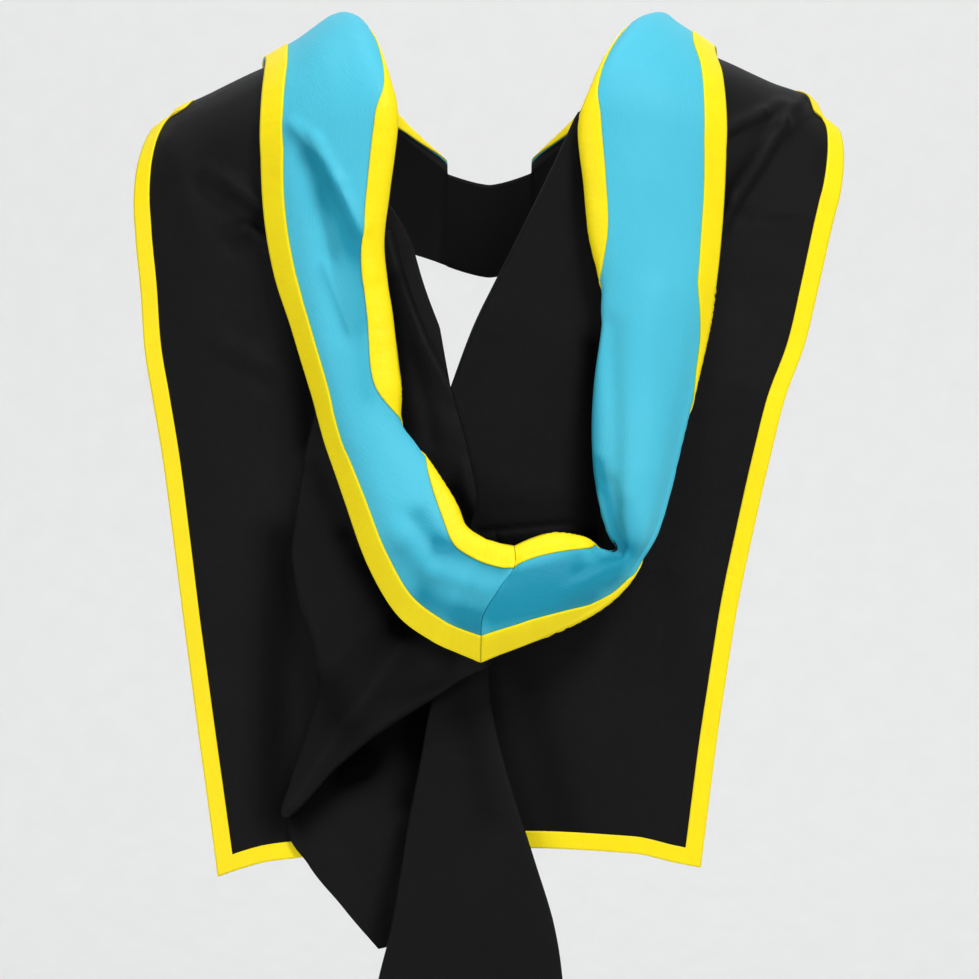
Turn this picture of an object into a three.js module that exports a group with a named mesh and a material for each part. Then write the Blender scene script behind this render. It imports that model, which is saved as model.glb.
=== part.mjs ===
// An academic hood of the full shape, as it hangs when worn, seen from behind along +Y.
// Millimetres, +Z up. The origin is at the middle of the neck opening, level with its highest point.
// Every cloth is a wall that follows one form of shoulders and back, and stands off it by a stated amount.
import * as THREE from "three";

// The form that the cloth hangs on
const shoulderHalfWidth = 250;
const shoulderDrop = 95;
const crownHeight = 70;
const crownArc = 140;
const backDepth = 105;
const frontDepth = 98;
const backRounding = 0.42;
const hangSlope = 0.03;

// The hood
const capeDrop = 600;
const pocketDepth = 60;
const rollRadius = 6;
const bandWidth = 102;
const bandRibbonWidth = 19;
const edgeRibbonWidth = 12;
const liripipeWidth = 136;
const liripipeLength = 350;
const liripipeThickness = 9;
const neckbandThickness = 6;
const neckbandDip = 10;

// The cloths
const shellCloth = 1.5;
const facingCloth = 1;
const ribbonCloth = 0.8;
const clearance = 0.3;

// The soft roll along the V fold, and the length over which folds die out at a piece's ends
const vRollHeight = 4;
const vRollReach = 7;
const foldFade = 60;

// How far the left cape's neck edge shows past the pocket's fold, and over how many sections it widens
const neckSlip = 11;
const neckSlipSections = 1.3;

// The smoothness of the curved pieces
const stepsPerSection = 2;

const black = { color: 0x1b1b1c, roughness: 0.85, metalness: 0 };
const blue = { color: 0x4ec5e2, roughness: 0.55, metalness: 0 };
const yellow = { color: 0xf7e11a, roughness: 0.5, metalness: 0 };

// Shoulder line: out as a share of the half width, each side's fall as a share of the shoulder drop
const shoulderLine = [
  { out: 0, left: 0, right: 0 },
  { out: 0.4, left: 0.15, right: 0.1 },
  { out: 0.52, left: 0.265, right: 0.19 },
  { out: 0.64, left: 0.36, right: 0.28 },
  { out: 0.8, left: 0.56, right: 0.47 },
  { out: 0.9, left: 0.69, right: 0.575 },
  { out: 1, left: 0.89, right: 0.8 },
];

// Front of the hood, the same on both sides, from the neckband to the shoulder.
// x is a share of shoulderHalfWidth, over a share of crownArc in front of the shoulder line.
const frontCape = [
  { innerX: 0.12, innerOver: 1.24, outerX: 0.12, outerOver: 1.72 },
  { innerX: 0.28, innerOver: 0.92, outerX: 0.58, outerOver: 1.28 },
  { innerX: 0.39, innerOver: 0.42, outerX: 0.85, outerOver: 0.58 },
];
const frontBand = [
  { rollX: 0.12, rollOver: 1.2, edgeX: 0.12, edgeOver: 1.64, tuckX: 0.12, tuckOver: 1.42 },
  { rollX: 0.265, rollOver: 0.9, edgeX: 0.5, edgeOver: 1.12, tuckX: 0.38, tuckOver: 1.01 },
  { rollX: 0.405, rollOver: 0.42, edgeX: 0.63, edgeOver: 0.46, tuckX: 0.5, tuckOver: 0.44 },
];
// Stands are shares of pocketDepth, ribbon is the share of bandWidth where the roll's ribbon ends,
// under is the share of the seen width that is turned under at the free edge, and shut says how far the
// wall under the band turns in at the bag's outline, from 0, a plain edge, to 1, a fold down to the back.
const frontStands = [
  { rollStand: 0.16, bulge: 0.02, edgeStand: 0.13, tuckStand: 0.09, ribbon: 0.19, under: 0, shut: 1 },
  { rollStand: 0.19, bulge: 0.04, edgeStand: 0.12, tuckStand: 0.09, ribbon: 0.1, under: 0, shut: 1 },
  { rollStand: 0.21, bulge: 0.02, edgeStand: 0.1, tuckStand: 0.11, ribbon: -0.02, under: 0, shut: 1 },
];

// Cape sections down the back: x as shares of shoulderHalfWidth, down as shares of capeDrop.
const capeSections = {
  left: [
    { innerX: -0.36, innerDown: 0.0, outerX: -0.896, outerDown: 0.112 },
    { innerX: -0.325, innerDown: 0.07, outerX: -0.955, outerDown: 0.132 },
    { innerX: -0.305, innerDown: 0.135, outerX: -0.99, outerDown: 0.17 },
    { innerX: -0.31, innerDown: 0.2, outerX: -1, outerDown: 0.215 },
    { innerX: -0.273, innerDown: 0.254, outerX: -0.995, outerDown: 0.262 },
    { innerX: -0.225, innerDown: 0.324, outerX: -0.98, outerDown: 0.325 },
    { innerX: -0.165, innerDown: 0.388, outerX: -0.968, outerDown: 0.394 },
    { innerX: -0.108, innerDown: 0.44, outerX: -0.945, outerDown: 0.452 },
    { innerX: -0.085, innerDown: 0.511, outerX: -0.915, outerDown: 0.528 },
    { innerX: -0.053, innerDown: 0.604, outerX: -0.885, outerDown: 0.622 },
    { innerX: -0.024, innerDown: 0.71, outerX: -0.855, outerDown: 0.721 },
    { innerX: -0.007, innerDown: 0.826, outerX: -0.815, outerDown: 0.843 },
    { innerX: 0, innerDown: 0.976, outerX: -0.76, outerDown: 1.009 },
  ],
  right: [
    { innerX: 0.42, innerDown: 0, outerX: 0.937, outerDown: 0.108 },
    { innerX: 0.33, innerDown: 0.07, outerX: 0.986, outerDown: 0.131 },
    { innerX: 0.25, innerDown: 0.117, outerX: 1, outerDown: 0.165 },
    { innerX: 0.175, innerDown: 0.182, outerX: 0.988, outerDown: 0.21 },
    { innerX: 0.097, innerDown: 0.249, outerX: 0.957, outerDown: 0.262 },
    { innerX: 0.02, innerDown: 0.313, outerX: 0.922, outerDown: 0.327 },
    { innerX: -0.045, innerDown: 0.369, outerX: 0.885, outerDown: 0.389 },
    { innerX: -0.108, innerDown: 0.44, outerX: 0.83, outerDown: 0.45 },
    { innerX: -0.085, innerDown: 0.511, outerX: 0.79, outerDown: 0.515 },
    { innerX: -0.053, innerDown: 0.604, outerX: 0.743, outerDown: 0.6 },
    { innerX: -0.024, innerDown: 0.71, outerX: 0.69, outerDown: 0.705 },
    { innerX: -0.007, innerDown: 0.826, outerX: 0.643, outerDown: 0.828 },
    { innerX: 0, innerDown: 0.976, outerX: 0.59, outerDown: 0.998 },
  ],
};
// The first and last cape sections that lie along the V fold, where the pocket's inside wall begins
const foldSections = { left: [4, 7], right: [2, 7] };

// The turned-out band: where the roll, the free edge and the end of the wall under it lie
const bandSections = {
  left: [
    { rollX: -0.39, rollDown: 0, edgeX: -0.63, edgeDown: 0.054, tuckX: -0.51, tuckDown: 0.03 },
    { rollX: -0.295, rollDown: 0.069, edgeX: -0.637, edgeDown: 0.103, tuckX: -0.46, tuckDown: 0.087 },
    { rollX: -0.267, rollDown: 0.126, edgeX: -0.637, edgeDown: 0.158, tuckX: -0.45, tuckDown: 0.143 },
    { rollX: -0.29, rollDown: 0.208, edgeX: -0.626, edgeDown: 0.233, tuckX: -0.46, tuckDown: 0.22 },
    { rollX: -0.304, rollDown: 0.278, edgeX: -0.595, edgeDown: 0.307, tuckX: -0.48, tuckDown: 0.294 },
    { rollX: -0.279, rollDown: 0.359, edgeX: -0.547, edgeDown: 0.369, tuckX: -0.5, tuckDown: 0.366 },
    { rollX: -0.256, rollDown: 0.435, edgeX: -0.491, edgeDown: 0.442, tuckX: -0.48, tuckDown: 0.447 },
    { rollX: -0.254, rollDown: 0.478, edgeX: -0.469, edgeDown: 0.476, tuckX: -0.495, tuckDown: 0.48 },
    { rollX: -0.207, rollDown: 0.507, edgeX: -0.447, edgeDown: 0.509, tuckX: -0.514, tuckDown: 0.511 },
    { rollX: -0.155, rollDown: 0.537, edgeX: -0.391, edgeDown: 0.575, tuckX: -0.547, tuckDown: 0.593 },
    { rollX: -0.102, rollDown: 0.573, edgeX: -0.329, edgeDown: 0.646, tuckX: -0.553, tuckDown: 0.657 },
    { rollX: -0.071, rollDown: 0.602, edgeX: -0.251, edgeDown: 0.7, tuckX: -0.469, tuckDown: 0.775 },
    { rollX: -0.02, rollDown: 0.617, edgeX: -0.155, edgeDown: 0.73, tuckX: -0.581, tuckDown: 0.937 },
    { rollX: 0.025, rollDown: 0.623, edgeX: -0.083, edgeDown: 0.744, tuckX: -0.323, tuckDown: 0.841 },
    { rollX: 0.069, rollDown: 0.627, edgeX: -0.024, edgeDown: 0.754, tuckX: -0.013, tuckDown: 0.765 },
  ],
  right: [
    { rollX: 0.449, rollDown: 0, edgeX: 0.634, edgeDown: 0.041, tuckX: 0.54, tuckDown: 0.02 },
    { rollX: 0.304, rollDown: 0.076, edgeX: 0.651, edgeDown: 0.071, tuckX: 0.48, tuckDown: 0.073 },
    { rollX: 0.259, rollDown: 0.13, edgeX: 0.659, edgeDown: 0.132, tuckX: 0.46, tuckDown: 0.131 },
    { rollX: 0.273, rollDown: 0.198, edgeX: 0.654, edgeDown: 0.193, tuckX: 0.46, tuckDown: 0.195 },
    { rollX: 0.287, rollDown: 0.26, edgeX: 0.643, edgeDown: 0.258, tuckX: 0.47, tuckDown: 0.259 },
    { rollX: 0.32, rollDown: 0.319, edgeX: 0.629, edgeDown: 0.314, tuckX: 0.5, tuckDown: 0.316 },
    { rollX: 0.315, rollDown: 0.362, edgeX: 0.609, edgeDown: 0.371, tuckX: 0.5, tuckDown: 0.367 },
    { rollX: 0.298, rollDown: 0.429, edgeX: 0.564, edgeDown: 0.452, tuckX: 0.49, tuckDown: 0.445 },
    { rollX: 0.29, rollDown: 0.496, edgeX: 0.531, edgeDown: 0.506, tuckX: 0.47, tuckDown: 0.504 },
    { rollX: 0.3, rollDown: 0.56, edgeX: 0.497, edgeDown: 0.563, tuckX: 0.46, tuckDown: 0.562 },
    { rollX: 0.325, rollDown: 0.602, edgeX: 0.462, edgeDown: 0.609, tuckX: 0.43, tuckDown: 0.607 },
    { rollX: 0.343, rollDown: 0.624, edgeX: 0.421, edgeDown: 0.638, tuckX: 0.4, tuckDown: 0.634 },
    { rollX: 0.305, rollDown: 0.625, edgeX: 0.385, edgeDown: 0.663, tuckX: 0.365, tuckDown: 0.655 },
    { rollX: 0.253, rollDown: 0.615, edgeX: 0.33, edgeDown: 0.685, tuckX: 0.313, tuckDown: 0.67 },
    { rollX: 0.186, rollDown: 0.611, edgeX: 0.24, edgeDown: 0.708, tuckX: 0.228, tuckDown: 0.69 },
    { rollX: 0.127, rollDown: 0.617, edgeX: 0.108, edgeDown: 0.732, tuckX: 0.11, tuckDown: 0.72 },
    { rollX: 0.069, rollDown: 0.627, edgeX: -0.024, edgeDown: 0.754, tuckX: -0.013, tuckDown: 0.765 },
  ],
};
const bandStands = {
  left: [
    { rollStand: 0.21, bulge: 0.01, edgeStand: 0.09, tuckStand: 0.11, ribbon: -0.02, under: 0, shut: 1 },
    { rollStand: 0.26, bulge: 0.07, edgeStand: 0.1, tuckStand: 0.1, ribbon: 0.03, under: 0, shut: 1 },
    { rollStand: 0.27, bulge: 0.12, edgeStand: 0.1, tuckStand: 0.09, ribbon: 0.15, under: 0, shut: 1 },
    { rollStand: 0.29, bulge: 0.15, edgeStand: 0.11, tuckStand: 0.09, ribbon: 0.15, under: 0, shut: 1 },
    { rollStand: 0.31, bulge: 0.15, edgeStand: 0.14, tuckStand: 0.13, ribbon: 0.15, under: 0, shut: 1 },
    { rollStand: 0.37, bulge: 0.15, edgeStand: 0.18, tuckStand: 0.15, ribbon: 0.17, under: 0, shut: 1 },
    { rollStand: 0.45, bulge: 0.16, edgeStand: 0.25, tuckStand: 0.17, ribbon: 0.18, under: 0, shut: 1 },
    { rollStand: 0.5, bulge: 0.165, edgeStand: 0.3, tuckStand: 0.175, ribbon: 0, under: 0, shut: 1 },
    { rollStand: 0.55, bulge: 0.17, edgeStand: 0.36, tuckStand: 0.18, ribbon: -0.03, under: 0, shut: 1 },
    { rollStand: 0.64, bulge: 0.18, edgeStand: 0.5, tuckStand: 0.19, ribbon: 0.06, under: 0, shut: 1 },
    { rollStand: 0.73, bulge: 0.2, edgeStand: 0.66, tuckStand: 0.21, ribbon: 0.13, under: 0, shut: 1 },
    { rollStand: 0.81, bulge: 0.22, edgeStand: 0.8, tuckStand: 0.22, ribbon: 0.15, under: 0, shut: 1 },
    { rollStand: 0.87, bulge: 0.24, edgeStand: 0.9, tuckStand: 0.26, ribbon: 0.16, under: 0, shut: 1 },
    { rollStand: 0.9, bulge: 0.26, edgeStand: 0.95, tuckStand: 0.34, ribbon: 0.18, under: 0, shut: 0.4 },
    { rollStand: 0.92, bulge: 0.27, edgeStand: 1, tuckStand: 0.42, ribbon: 0.19, under: 0, shut: 0 },
  ],
  right: [
    { rollStand: 0.21, bulge: 0.01, edgeStand: 0.09, tuckStand: 0.11, ribbon: -0.02, under: 0, shut: 0 },
    { rollStand: 0.26, bulge: 0.07, edgeStand: 0.1, tuckStand: 0.1, ribbon: 0.05, under: 0, shut: 0 },
    { rollStand: 0.27, bulge: 0.12, edgeStand: 0.1, tuckStand: 0.09, ribbon: 0.15, under: 0, shut: 0 },
    { rollStand: 0.29, bulge: 0.16, edgeStand: 0.11, tuckStand: 0.09, ribbon: 0.15, under: 0, shut: 0 },
    { rollStand: 0.3, bulge: 0.17, edgeStand: 0.13, tuckStand: 0.1, ribbon: 0.13, under: 0, shut: 0 },
    { rollStand: 0.33, bulge: 0.18, edgeStand: 0.16, tuckStand: 0.09, ribbon: -0.01, under: 0, shut: 0 },
    { rollStand: 0.37, bulge: 0.19, edgeStand: 0.2, tuckStand: 0.11, ribbon: -0.04, under: 0.08, shut: 0 },
    { rollStand: 0.43, bulge: 0.2, edgeStand: 0.3, tuckStand: 0.13, ribbon: -0.04, under: 0.22, shut: 0 },
    { rollStand: 0.49, bulge: 0.21, edgeStand: 0.4, tuckStand: 0.15, ribbon: -0.04, under: 0.36, shut: 0 },
    { rollStand: 0.56, bulge: 0.21, edgeStand: 0.5, tuckStand: 0.17, ribbon: -0.04, under: 0.5, shut: 0 },
    { rollStand: 0.62, bulge: 0.16, edgeStand: 0.58, tuckStand: 0.2, ribbon: -0.02, under: 0.55, shut: 0 },
    { rollStand: 0.66, bulge: 0.05, edgeStand: 0.64, tuckStand: 0.24, ribbon: -0.02, under: 0.5, shut: 0 },
    { rollStand: 0.7, bulge: 0.12, edgeStand: 0.72, tuckStand: 0.28, ribbon: 0.02, under: 0.3, shut: 0 },
    { rollStand: 0.76, bulge: 0.18, edgeStand: 0.82, tuckStand: 0.32, ribbon: 0.1, under: 0.1, shut: 0 },
    { rollStand: 0.83, bulge: 0.23, edgeStand: 0.91, tuckStand: 0.36, ribbon: 0.17, under: 0, shut: 0 },
    { rollStand: 0.88, bulge: 0.26, edgeStand: 0.96, tuckStand: 0.4, ribbon: 0.19, under: 0, shut: 0 },
    { rollStand: 0.92, bulge: 0.27, edgeStand: 1, tuckStand: 0.42, ribbon: 0.19, under: 0, shut: 0 },
  ],
};

// The pocket's inside wall: its outer boundary at the cape's sections from the V fold down, and how far
// it stands off the back. Below the cape's seam the left half has sections of its own.
const pocketSections = {
  left: [
    { outerX: -0.335, outerDown: 0.262, stand: 0.06 },
    { outerX: -0.405, outerDown: 0.336, stand: 0.065 },
    { outerX: -0.455, outerDown: 0.4, stand: 0.065 },
    { outerX: -0.485, outerDown: 0.458, stand: 0.065 },
    { outerX: -0.515, outerDown: 0.558, stand: 0.065 },
    { outerX: -0.53, outerDown: 0.663, stand: 0.065 },
    { outerX: -0.455, outerDown: 0.775, stand: 0.065 },
    { outerX: -0.565, outerDown: 0.935, stand: 0.065 },
    { outerX: -0.505, outerDown: 0.995, stand: 0.065 },
    { innerX: -0.1, innerDown: 1.045, outerX: -0.407, outerDown: 1.045, stand: 0.065 },
    { innerX: -0.24, innerDown: 1.085, outerX: -0.31, outerDown: 1.092, stand: 0.065 },
  ],
  right: [
    { outerX: 0.32, outerDown: 0.14, stand: 0.06 },
    { outerX: 0.34, outerDown: 0.21, stand: 0.065 },
    { outerX: 0.36, outerDown: 0.28, stand: 0.065 },
    { outerX: 0.38, outerDown: 0.345, stand: 0.065 },
    { outerX: 0.375, outerDown: 0.4, stand: 0.065 },
    { outerX: 0.37, outerDown: 0.47, stand: 0.065 },
    { outerX: 0.37, outerDown: 0.54, stand: 0.065 },
    { outerX: 0.34, outerDown: 0.625, stand: 0.065 },
    { outerX: 0.12, outerDown: 0.715, stand: 0.065 },
  ],
};

// The main folds and dents of each cloth. A ridge has a height above 0 and a hollow one below it. x is a
// share of shoulderHalfWidth, down of capeDrop, and height and width of pocketDepth.
const capeFolds = {
  left: [
    { fromX: -0.76, fromDown: 0.19, toX: -0.67, toDown: 0.225, height: 0.07, width: 0.3 },
    { fromX: -0.82, fromDown: 0.29, toX: -0.72, toDown: 0.7, height: 0.06, width: 0.42 },
    { fromX: -0.6, fromDown: 0.5, toX: -0.52, toDown: 0.97, height: -0.05, width: 0.45 },
  ],
  right: [
    { fromX: 0.92, fromDown: 0.09, toX: 0.73, toDown: 0.2, height: 0.1, width: 0.27 },
    { fromX: 0.7, fromDown: 0.38, toX: 0.57, toDown: 0.78, height: 0.06, width: 0.42 },
    { fromX: 0.46, fromDown: 0.7, toX: 0.4, toDown: 0.98, height: -0.05, width: 0.42 },
  ],
};
const bandFolds = {
  left: [
    { fromX: -0.53, fromDown: 0.14, toX: -0.47, toDown: 0.17, height: -0.04, width: 0.17 },
    { fromX: -0.47, fromDown: 0.17, toX: -0.4, toDown: 0.265, height: -0.08, width: 0.2 },
    { fromX: -0.4, fromDown: 0.265, toX: -0.38, toDown: 0.335, height: -0.05, width: 0.2 },
    { fromX: -0.5, fromDown: 0.34, toX: -0.4, toDown: 0.5, height: 0.03, width: 0.2 },
  ],
  right: [
    { fromX: 0.39, fromDown: 0.39, toX: 0.375, toDown: 0.53, height: -0.05, width: 0.13 },
    { fromX: 0.49, fromDown: 0.33, toX: 0.46, toDown: 0.5, height: 0.04, width: 0.2 },
  ],
};
const bagFolds = {
  left: [
    { fromX: -0.53, fromDown: 0.69, toX: -0.47, toDown: 0.76, height: -0.07, width: 0.22 },
    { fromX: -0.47, fromDown: 0.76, toX: -0.48, toDown: 0.8, height: -0.06, width: 0.22 },
    { fromX: -0.44, fromDown: 0.8, toX: -0.1, toDown: 0.77, height: 0.05, width: 0.18 },
    { fromX: -0.5, fromDown: 0.55, toX: -0.53, toDown: 0.66, height: 0.05, width: 0.25 },
  ],
  right: [],
};
const pocketFolds = {
  left: [{ fromX: -0.2, fromDown: 0.285, toX: -0.1, toDown: 0.45, height: 0.04, width: 0.14 }],
  right: [{ fromX: 0.08, fromDown: 0.35, toX: 0.24, toDown: 0.42, height: 0.03, width: 0.3 }],
};

// The liripipe: middle as a share of shoulderHalfWidth, fall of its own length, width of its own width,
// stand of pocketDepth, and thick of its own thickness
const liripipeTop = 0.744;
const liripipeSections = [
  { middle: -0.066, fall: 0, width: 0.22, stand: 0.125, thick: 0.5 },
  { middle: -0.08, fall: 0.117, width: 0.32, stand: 0.19, thick: 0.8 },
  { middle: -0.077, fall: 0.222, width: 0.43, stand: 0.24, thick: 1 },
  { middle: -0.07, fall: 0.323, width: 0.56, stand: 0.27, thick: 1 },
  { middle: -0.059, fall: 0.42, width: 0.68, stand: 0.28, thick: 1 },
  { middle: -0.048, fall: 0.54, width: 0.83, stand: 0.28, thick: 1 },
  { middle: -0.055, fall: 0.66, width: 0.95, stand: 0.27, thick: 1 },
  { middle: -0.056, fall: 0.822, width: 0.99, stand: 0.25, thick: 0.9 },
  { middle: -0.055, fall: 1, width: 1, stand: 0.24, thick: 0.6 },
];
const liripipeSides = 14;

const bandRibbonShare = bandRibbonWidth / bandWidth;
// The free edge's ribbon takes up at most this share of the turned-out face, where that is narrow
const outerRibbonMost = 0.42;
// How much further than half the clearance the band's ends stand from the centre seam
const seamSlack = 0.1;
const ribbonSteps = 2;
const facingSteps = 4;
const outerRibbonSteps = 1;
const underWallShares = [0.62, 0.28];
const bagTurnShares = { left: [1, 0.5, 0], right: [0] };
const capeShares = [0, 0.16, 0.32, 0.48, 0.64, 0.8];
const pocketShares = [0, 0.3, 0.65, 1];
const neckbandShares = [-1, -0.5, 0, 0.5, 1];
const foldOpening = 5;

// The band's section: how far its roll reaches, as a share of the roll's radius, where its bulge stands
// fullest between the roll and the free edge, and how fine its line is before the columns are laid out
const rollReach = 1.2;
const rollClearShare = 0.9;
const bulgeStarts = 0.3;
const bulgeEnds = 0.7;
const bulgeShare = 0.9;
const lineSamples = 24;
const fullTurnShare = 0.1;
const leastTurnShare = 0.02;
const bagTurnLeast = 0.9;
const bagTurnMost = 7;

// A smooth value at a place among evenly spaced values
function smooth(values, at) {
  const first = Math.min(Math.floor(at), values.length - 2);
  const from = values[first];
  const to = values[first + 1];
  const before = first > 0 ? values[first - 1] : 2 * from - to;
  const after = first + 2 < values.length ? values[first + 2] : 2 * to - from;
  const f = at - first;
  const slopeFrom = (to - before) / 2;
  const slopeTo = (after - from) / 2;
  return (
    from * (1 + 2 * f) * (1 - f) ** 2 +
    to * f * f * (3 - 2 * f) +
    slopeFrom * f * (1 - f) ** 2 -
    slopeTo * f * f * (1 - f)
  );
}

function rowAt(table, at) {
  return Object.fromEntries(
    Object.keys(table[0]).map((key) => [key, smooth(table.map((row) => row[key]), at)]),
  );
}

// Height of the shoulder line
function shoulderZ(x) {
  const side = x < 0 ? "left" : "right";
  const out = Math.abs(x) / shoulderHalfWidth;
  const last = shoulderLine.length - 1;
  let row = 0;
  while (row < last - 1 && shoulderLine[row + 1].out < out) row += 1;
  const slope = (k) => {
    if (k === 0) return 0;
    const next = Math.min(k + 1, last);
    const rise = shoulderLine[next][side] - shoulderLine[k - 1][side];
    return rise / (shoulderLine[next].out - shoulderLine[k - 1].out);
  };
  if (out >= 1) return -shoulderDrop * (shoulderLine[last][side] + slope(last) * (out - 1));
  const span = shoulderLine[row + 1].out - shoulderLine[row].out;
  const f = (out - shoulderLine[row].out) / span;
  const down =
    shoulderLine[row][side] * (1 + 2 * f) * (1 - f) ** 2 +
    shoulderLine[row + 1][side] * f * f * (3 - 2 * f) +
    span * (slope(row) * f * (1 - f) ** 2 - slope(row + 1) * f * f * (1 - f));
  return -shoulderDrop * down;
}

// The form: x across, over the distance from the shoulder line, to the back if positive
function formPoint(x, over) {
  const share = Math.abs(x) / shoulderHalfWidth;
  const reach = Math.abs(over);
  const depth = over > 0 ? backDepth : frontDepth;
  const turn = (Math.min(reach / crownArc, 1) * Math.PI) / 2;
  const hang = Math.max(reach - crownArc, 0);
  const rounded = depth * (1 - backRounding * share ** 2.2);
  const y = rounded * Math.sin(turn) + hang * hangSlope * (1 + share * share);
  const z = shoulderZ(x) - crownHeight * (1 - Math.cos(turn)) - hang;
  return new THREE.Vector3(x, over > 0 ? -y : y, z);
}

function formNormal(x, over) {
  const step = 1;
  const across = formPoint(x + step, over).sub(formPoint(x - step, over));
  const along = formPoint(x, over + step).sub(formPoint(x, over - step));
  return along.cross(across).normalize();
}

function lifted(x, over, stand) {
  return formPoint(x, over).addScaledVector(formNormal(x, over), stand);
}

function overAt(x, z) {
  const drop = Math.max(shoulderZ(x) - z, 0);
  if (drop > crownHeight) return crownArc + drop - crownHeight;
  return (Math.acos(1 - drop / crownHeight) / (Math.PI / 2)) * crownArc;
}

// The place on the form whose lifted point is seen at x and down from behind
function seen(xShare, downShare, stand) {
  const x = xShare * shoulderHalfWidth;
  const z = -downShare * capeDrop;
  let atX = x;
  let atZ = z;
  for (let turn = 0; turn < 6; turn += 1) {
    const point = lifted(atX, overAt(atX, atZ), stand);
    atX += x - point.x;
    atZ += z - point.z;
    atZ = Math.min(atZ, shoulderZ(atX));
  }
  return { x: atX, over: overAt(atX, atZ) };
}

function inFront(xShare, overShare, side) {
  return { x: xShare * shoulderHalfWidth * side, over: -overShare * crownArc };
}

// A wall of cloth on a grid of points: the faces at low and high along the normals, and its edges.
// Columns join round where wrap is set, and keep chooses the squares that the piece covers.
function wallMesh(name, finish, grid, low, high, { side = 1, wrap = false, keep = () => true } = {}) {
  const rows = grid.points.length;
  const columns = grid.points[0].length;
  const squares = wrap ? columns : columns - 1;
  const count = rows * columns;
  const positions = [];
  for (const offset of [high, low]) {
    for (let i = 0; i < rows; i += 1) {
      for (let j = 0; j < columns; j += 1) {
        const point = grid.points[i][j].clone().addScaledVector(grid.normals[i][j], offset);
        positions.push(point.x, point.y, point.z);
      }
    }
  }
  const kept = (i, j) => {
    const column = wrap ? (j + squares) % squares : j;
    return i >= 0 && i < rows - 1 && column >= 0 && column < squares && keep(i, column);
  };
  const index = [];
  const face = (a, b, c) => (side > 0 ? index.push(a, b, c) : index.push(a, c, b));
  const edge = (from, to) => {
    face(to, from, from + count);
    face(to, from + count, to + count);
  };
  for (let i = 0; i < rows - 1; i += 1) {
    for (let j = 0; j < squares; j += 1) {
      if (!kept(i, j)) continue;
      const next = (j + 1) % columns;
      const a = i * columns + j;
      const b = (i + 1) * columns + j;
      const c = (i + 1) * columns + next;
      const d = i * columns + next;
      face(a, b, c);
      face(a, c, d);
      face(b + count, a + count, c + count);
      face(c + count, a + count, d + count);
      if (!kept(i, j - 1)) edge(a, b);
      if (!kept(i + 1, j)) edge(b, c);
      if (!kept(i, j + 1)) edge(c, d);
      if (!kept(i - 1, j)) edge(d, a);
    }
  }
  const geometry = new THREE.BufferGeometry();
  geometry.setAttribute("position", new THREE.Float32BufferAttribute(positions, 3));
  geometry.setIndex(index);
  const clean = geometry.toNonIndexed();
  clean.computeVertexNormals();
  const mesh = new THREE.Mesh(clean, new THREE.MeshStandardMaterial(finish));
  mesh.name = name;
  return mesh;
}

function mix(from, to, share) {
  return from + (to - from) * share;
}

// The height that the folds add at a point: each a bell across its line, rounded off beyond its ends
function foldLift(point, folds) {
  let lift = 0;
  for (const fold of folds) {
    const from = new THREE.Vector2(fold.fromX * shoulderHalfWidth, -fold.fromDown * capeDrop);
    const line = new THREE.Vector2(fold.toX * shoulderHalfWidth, -fold.toDown * capeDrop).sub(from);
    const place = new THREE.Vector2(point.x, point.z).sub(from);
    const share = THREE.MathUtils.clamp(place.dot(line) / line.lengthSq(), 0, 1);
    const away = place.addScaledVector(line, -share).length() / (fold.width * pocketDepth);
    lift += fold.height * pocketDepth * Math.exp(-away * away);
  }
  return lift;
}

function stations(count) {
  const list = [];
  for (let step = 0; step <= count * stepsPerSection; step += 1) list.push(step / stepsPerSection);
  return list;
}

// The cape's sections as places on the form, from the neckband to the hem
function capeEnds(name, side) {
  const front = frontCape.map((row) => ({
    inner: inFront(row.innerX, row.innerOver, side),
    outer: inFront(row.outerX, row.outerOver, side),
  }));
  const back = capeSections[name].map((row) => ({
    inner: seen(row.innerX, row.innerDown, 0),
    outer: seen(row.outerX, row.outerDown, 0),
  }));
  return front.concat(back);
}

// A place between sections. The neck edge and the centre seam meet at a corner, the foot of the V.
function endAt(ends, key, at, corner) {
  const useSeam = key === "inner" && at > corner;
  const start = useSeam ? corner : 0;
  const stop = key === "inner" && !useSeam ? corner + 1 : ends.length;
  const part = ends.slice(start, stop).map((end) => end[key]);
  return rowAt(part, at - start);
}

function capeGrid(name, side) {
  const ends = capeEnds(name, side);
  const corner = frontCape.length + foldSections[name][1];
  const last = ends.length - 1;
  const fold = frontCape.length + foldSections[name][0] - 1;
  const risen = (sections) => THREE.MathUtils.clamp(sections / neckSlipSections, 0, 1);
  const rows = stations(last).map((at) => ({
    inner: endAt(ends, "inner", at, corner),
    outer: endAt(ends, "outer", at, corner),
    shown: risen(at - fold) * risen(corner - at),
    seam: at >= corner,
  }));
  const hem = rows[rows.length - 1];
  const above = {
    inner: { x: hem.inner.x, over: hem.inner.over - edgeRibbonWidth },
    outer: { x: hem.outer.x, over: hem.outer.over - edgeRibbonWidth },
    seam: true,
  };
  rows.splice(rows.length - 1, 0, above);
  const points = [];
  const normals = [];
  for (const row of rows) {
    const slip = name === "left" ? neckSlip * row.shown : 0;
    const shift = row.seam ? (side * clearance) / 2 : slip;
    const width = Math.hypot(row.outer.x - row.inner.x, row.outer.over - row.inner.over);
    const shares = [...capeShares, 1 - edgeRibbonWidth / width, 1];
    const places = shares.map((share) => ({
      x: mix(row.inner.x + shift, row.outer.x, share),
      over: mix(row.inner.over, row.outer.over, share),
    }));
    points.push(
      places.map((place) => {
        const fade = THREE.MathUtils.clamp(place.over / foldFade, 0, 1);
        const point = formPoint(place.x, place.over);
        return lifted(place.x, place.over, foldLift(point, capeFolds[name]) * fade);
      }),
    );
    normals.push(places.map((place) => formNormal(place.x, place.over)));
  }
  return { points, normals };
}

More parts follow.
